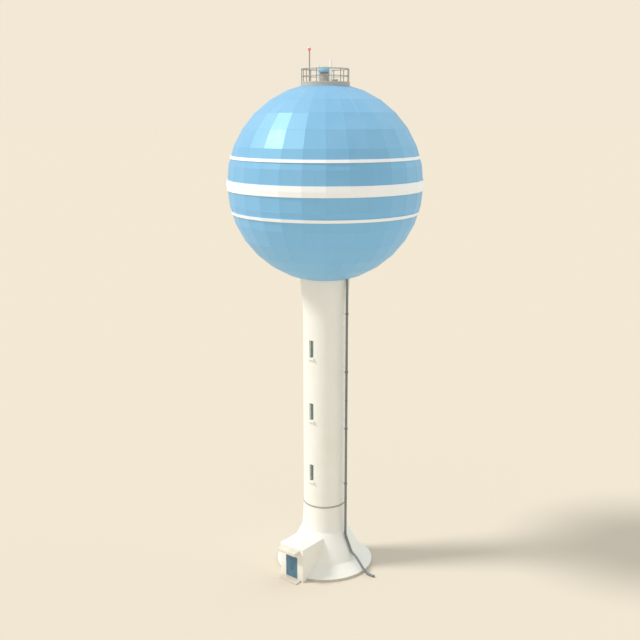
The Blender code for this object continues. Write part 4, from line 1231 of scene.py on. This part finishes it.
def makePole(name, node, place, finish, cap):
    x, y, radius, top = place
    foot, soft, weld = deck["topZ"] + deck["seatGap"], poles["flangeSoftness"], 0.006
    wide, seat = radius + poles["flangeWidth"], foot + poles["flangeHeight"]
    head = [(radius + out, top - down) for out, down in caps[cap]]
    if cap == "dome":
        head.append((radius * 0.75, top - 0.003))
    profile = [(0.0, foot), (wide - soft, foot), (wide, foot + soft), (wide, seat - soft),
               (wide - soft, seat), (radius + weld, seat), (radius, seat + 0.008)] + head + [(0.0, top)]
    pole = bmesh.new()
    addSpun(pole, profile, poles["sides"], centre=(x, y))
    addPiece(name, pole, finish, (node,))
    fixings = bmesh.new()
    circle = radius + poles["flangeWidth"] * 0.58
    addBoltRing(fixings, poles["bolts"], circle, seat, poles["bolt"], (0, 0, 1), first=0.25, centre=(x, y))
    addPiece(name + "Bolts", fixings, "zincSteel")


def makeBeacon():
    x, y, mastRadius = poles["beaconMast"][:3]
    low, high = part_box("beacon_lamp")
    size, steps, ripple = beacon["radius"], beacon["steps"], beacon["ripple"]
    centre = high.z - size
    first = math.asin((low.z + beacon["lensRise"] - centre) / size)
    profile = [(0.0, low.z), (size * beacon["footShare"], low.z)]
    for i in range(steps):
        # fine rings, as in a moulded lens, but none close to its foot and top
        angle = first + (math.pi / 2 - first) * i / steps
        radius = size - (ripple * (i % 2) if 2 < i < steps - 3 else ripple)
        profile.append((radius * math.cos(angle), centre + radius * math.sin(angle)))
    lens = bmesh.new()
    addSpun(lens, profile + [(0.0, high.z - ripple)], beacon["sides"], centre=(x, y))
    addPiece("beaconLens", lens, "lampRed", ("beacon_lamp",), sharp=35)
    reach, soft = mastRadius + beacon["collarReach"], beacon["collarSoftness"]
    foot, head = low.z - beacon["collarDrop"], low.z + beacon["collarRise"]
    collar = bmesh.new()
    outline = [(0.0, foot), (reach - soft, foot), (reach, foot + soft), (reach, head), (0.0, head)]
    addSpun(collar, outline, 32, centre=(x, y))
    addPiece("beaconCollar", collar, "fittingGrey")


def makeCabinet():
    x, half, foot = cabinet["x"], cabinet["width"] / 2, deck["topZ"] + deck["seatGap"]
    faceY, proud, inset = cabinet["y"] - cabinet["depth"] / 2, cabinet["doorProud"], cabinet["doorInset"]
    housing = softCopy("equipment_cabinet", cabinet["softness"], 40)
    addPiece("cabinetHousing", housing, "fittingGrey", ("equipment_cabinet",))
    # a door with two hinges, a latch and vent slats
    low, high = foot + cabinet["doorFoot"], foot + cabinet["height"] - cabinet["doorTop"]
    side = half - inset
    corners = (x - side, faceY - proud, low), (x + side, faceY + 0.001, high)
    fittings = boxShape(*corners, cabinet["doorSoftness"])
    hinge, latch = [(-0.006, 0.004), (0.006, 0.004)], [(0.003, 0.007), (0.010, 0.007)]
    for up in cabinet["hingeZ"]:
        at = (x - half + cabinet["hingeInset"], faceY - proud, foot + up)
        addTurned(fittings, at, (0, 0, 1), hinge, 12)
    at = (x + half - cabinet["latchInset"], faceY, foot + cabinet["latchZ"])
    addTurned(fittings, at, (0, -1, 0), latch, 18)
    for i in range(cabinet["slats"]):
        z = foot + cabinet["slatZ"] + i * cabinet["slatPitch"]
        addBox(fittings, (x - 0.040, faceY - 0.0065, z), (x + 0.030, faceY - 0.003, z + 0.004))
    # a conduit from the cabinet's side down to the deck
    start, high = x - half + 0.001, foot + cabinet["conduitZ"]
    bend = x - half - cabinet["conduitReach"]
    conduit = [(start, cabinet["y"], high), (bend, cabinet["y"], high), (bend, cabinet["y"], foot)]
    addSwept(fittings, bentRoute(conduit, 0.018, 5), 0.008, 12)
    addRod(fittings, conduit[0], (x - half - 0.010, cabinet["y"], high), 0.013, 6)
    addPiece("cabinetFittings", fittings, "zincSteel")


makeDeck()
makeRailing()
makeHood()
makeTrunk()
makePole("ventPipePole", "vent_pole", poles["ventPole"], "bandWhite", "dome")
makePole("shortPipePole", "short_pole", poles["shortPole"], "bandWhite", "rim")
makePole("beaconPost", "beacon_mast", poles["beaconMast"], "mastGrey", "rim")
makeBeacon()
makeCabinet()
print("platform made")
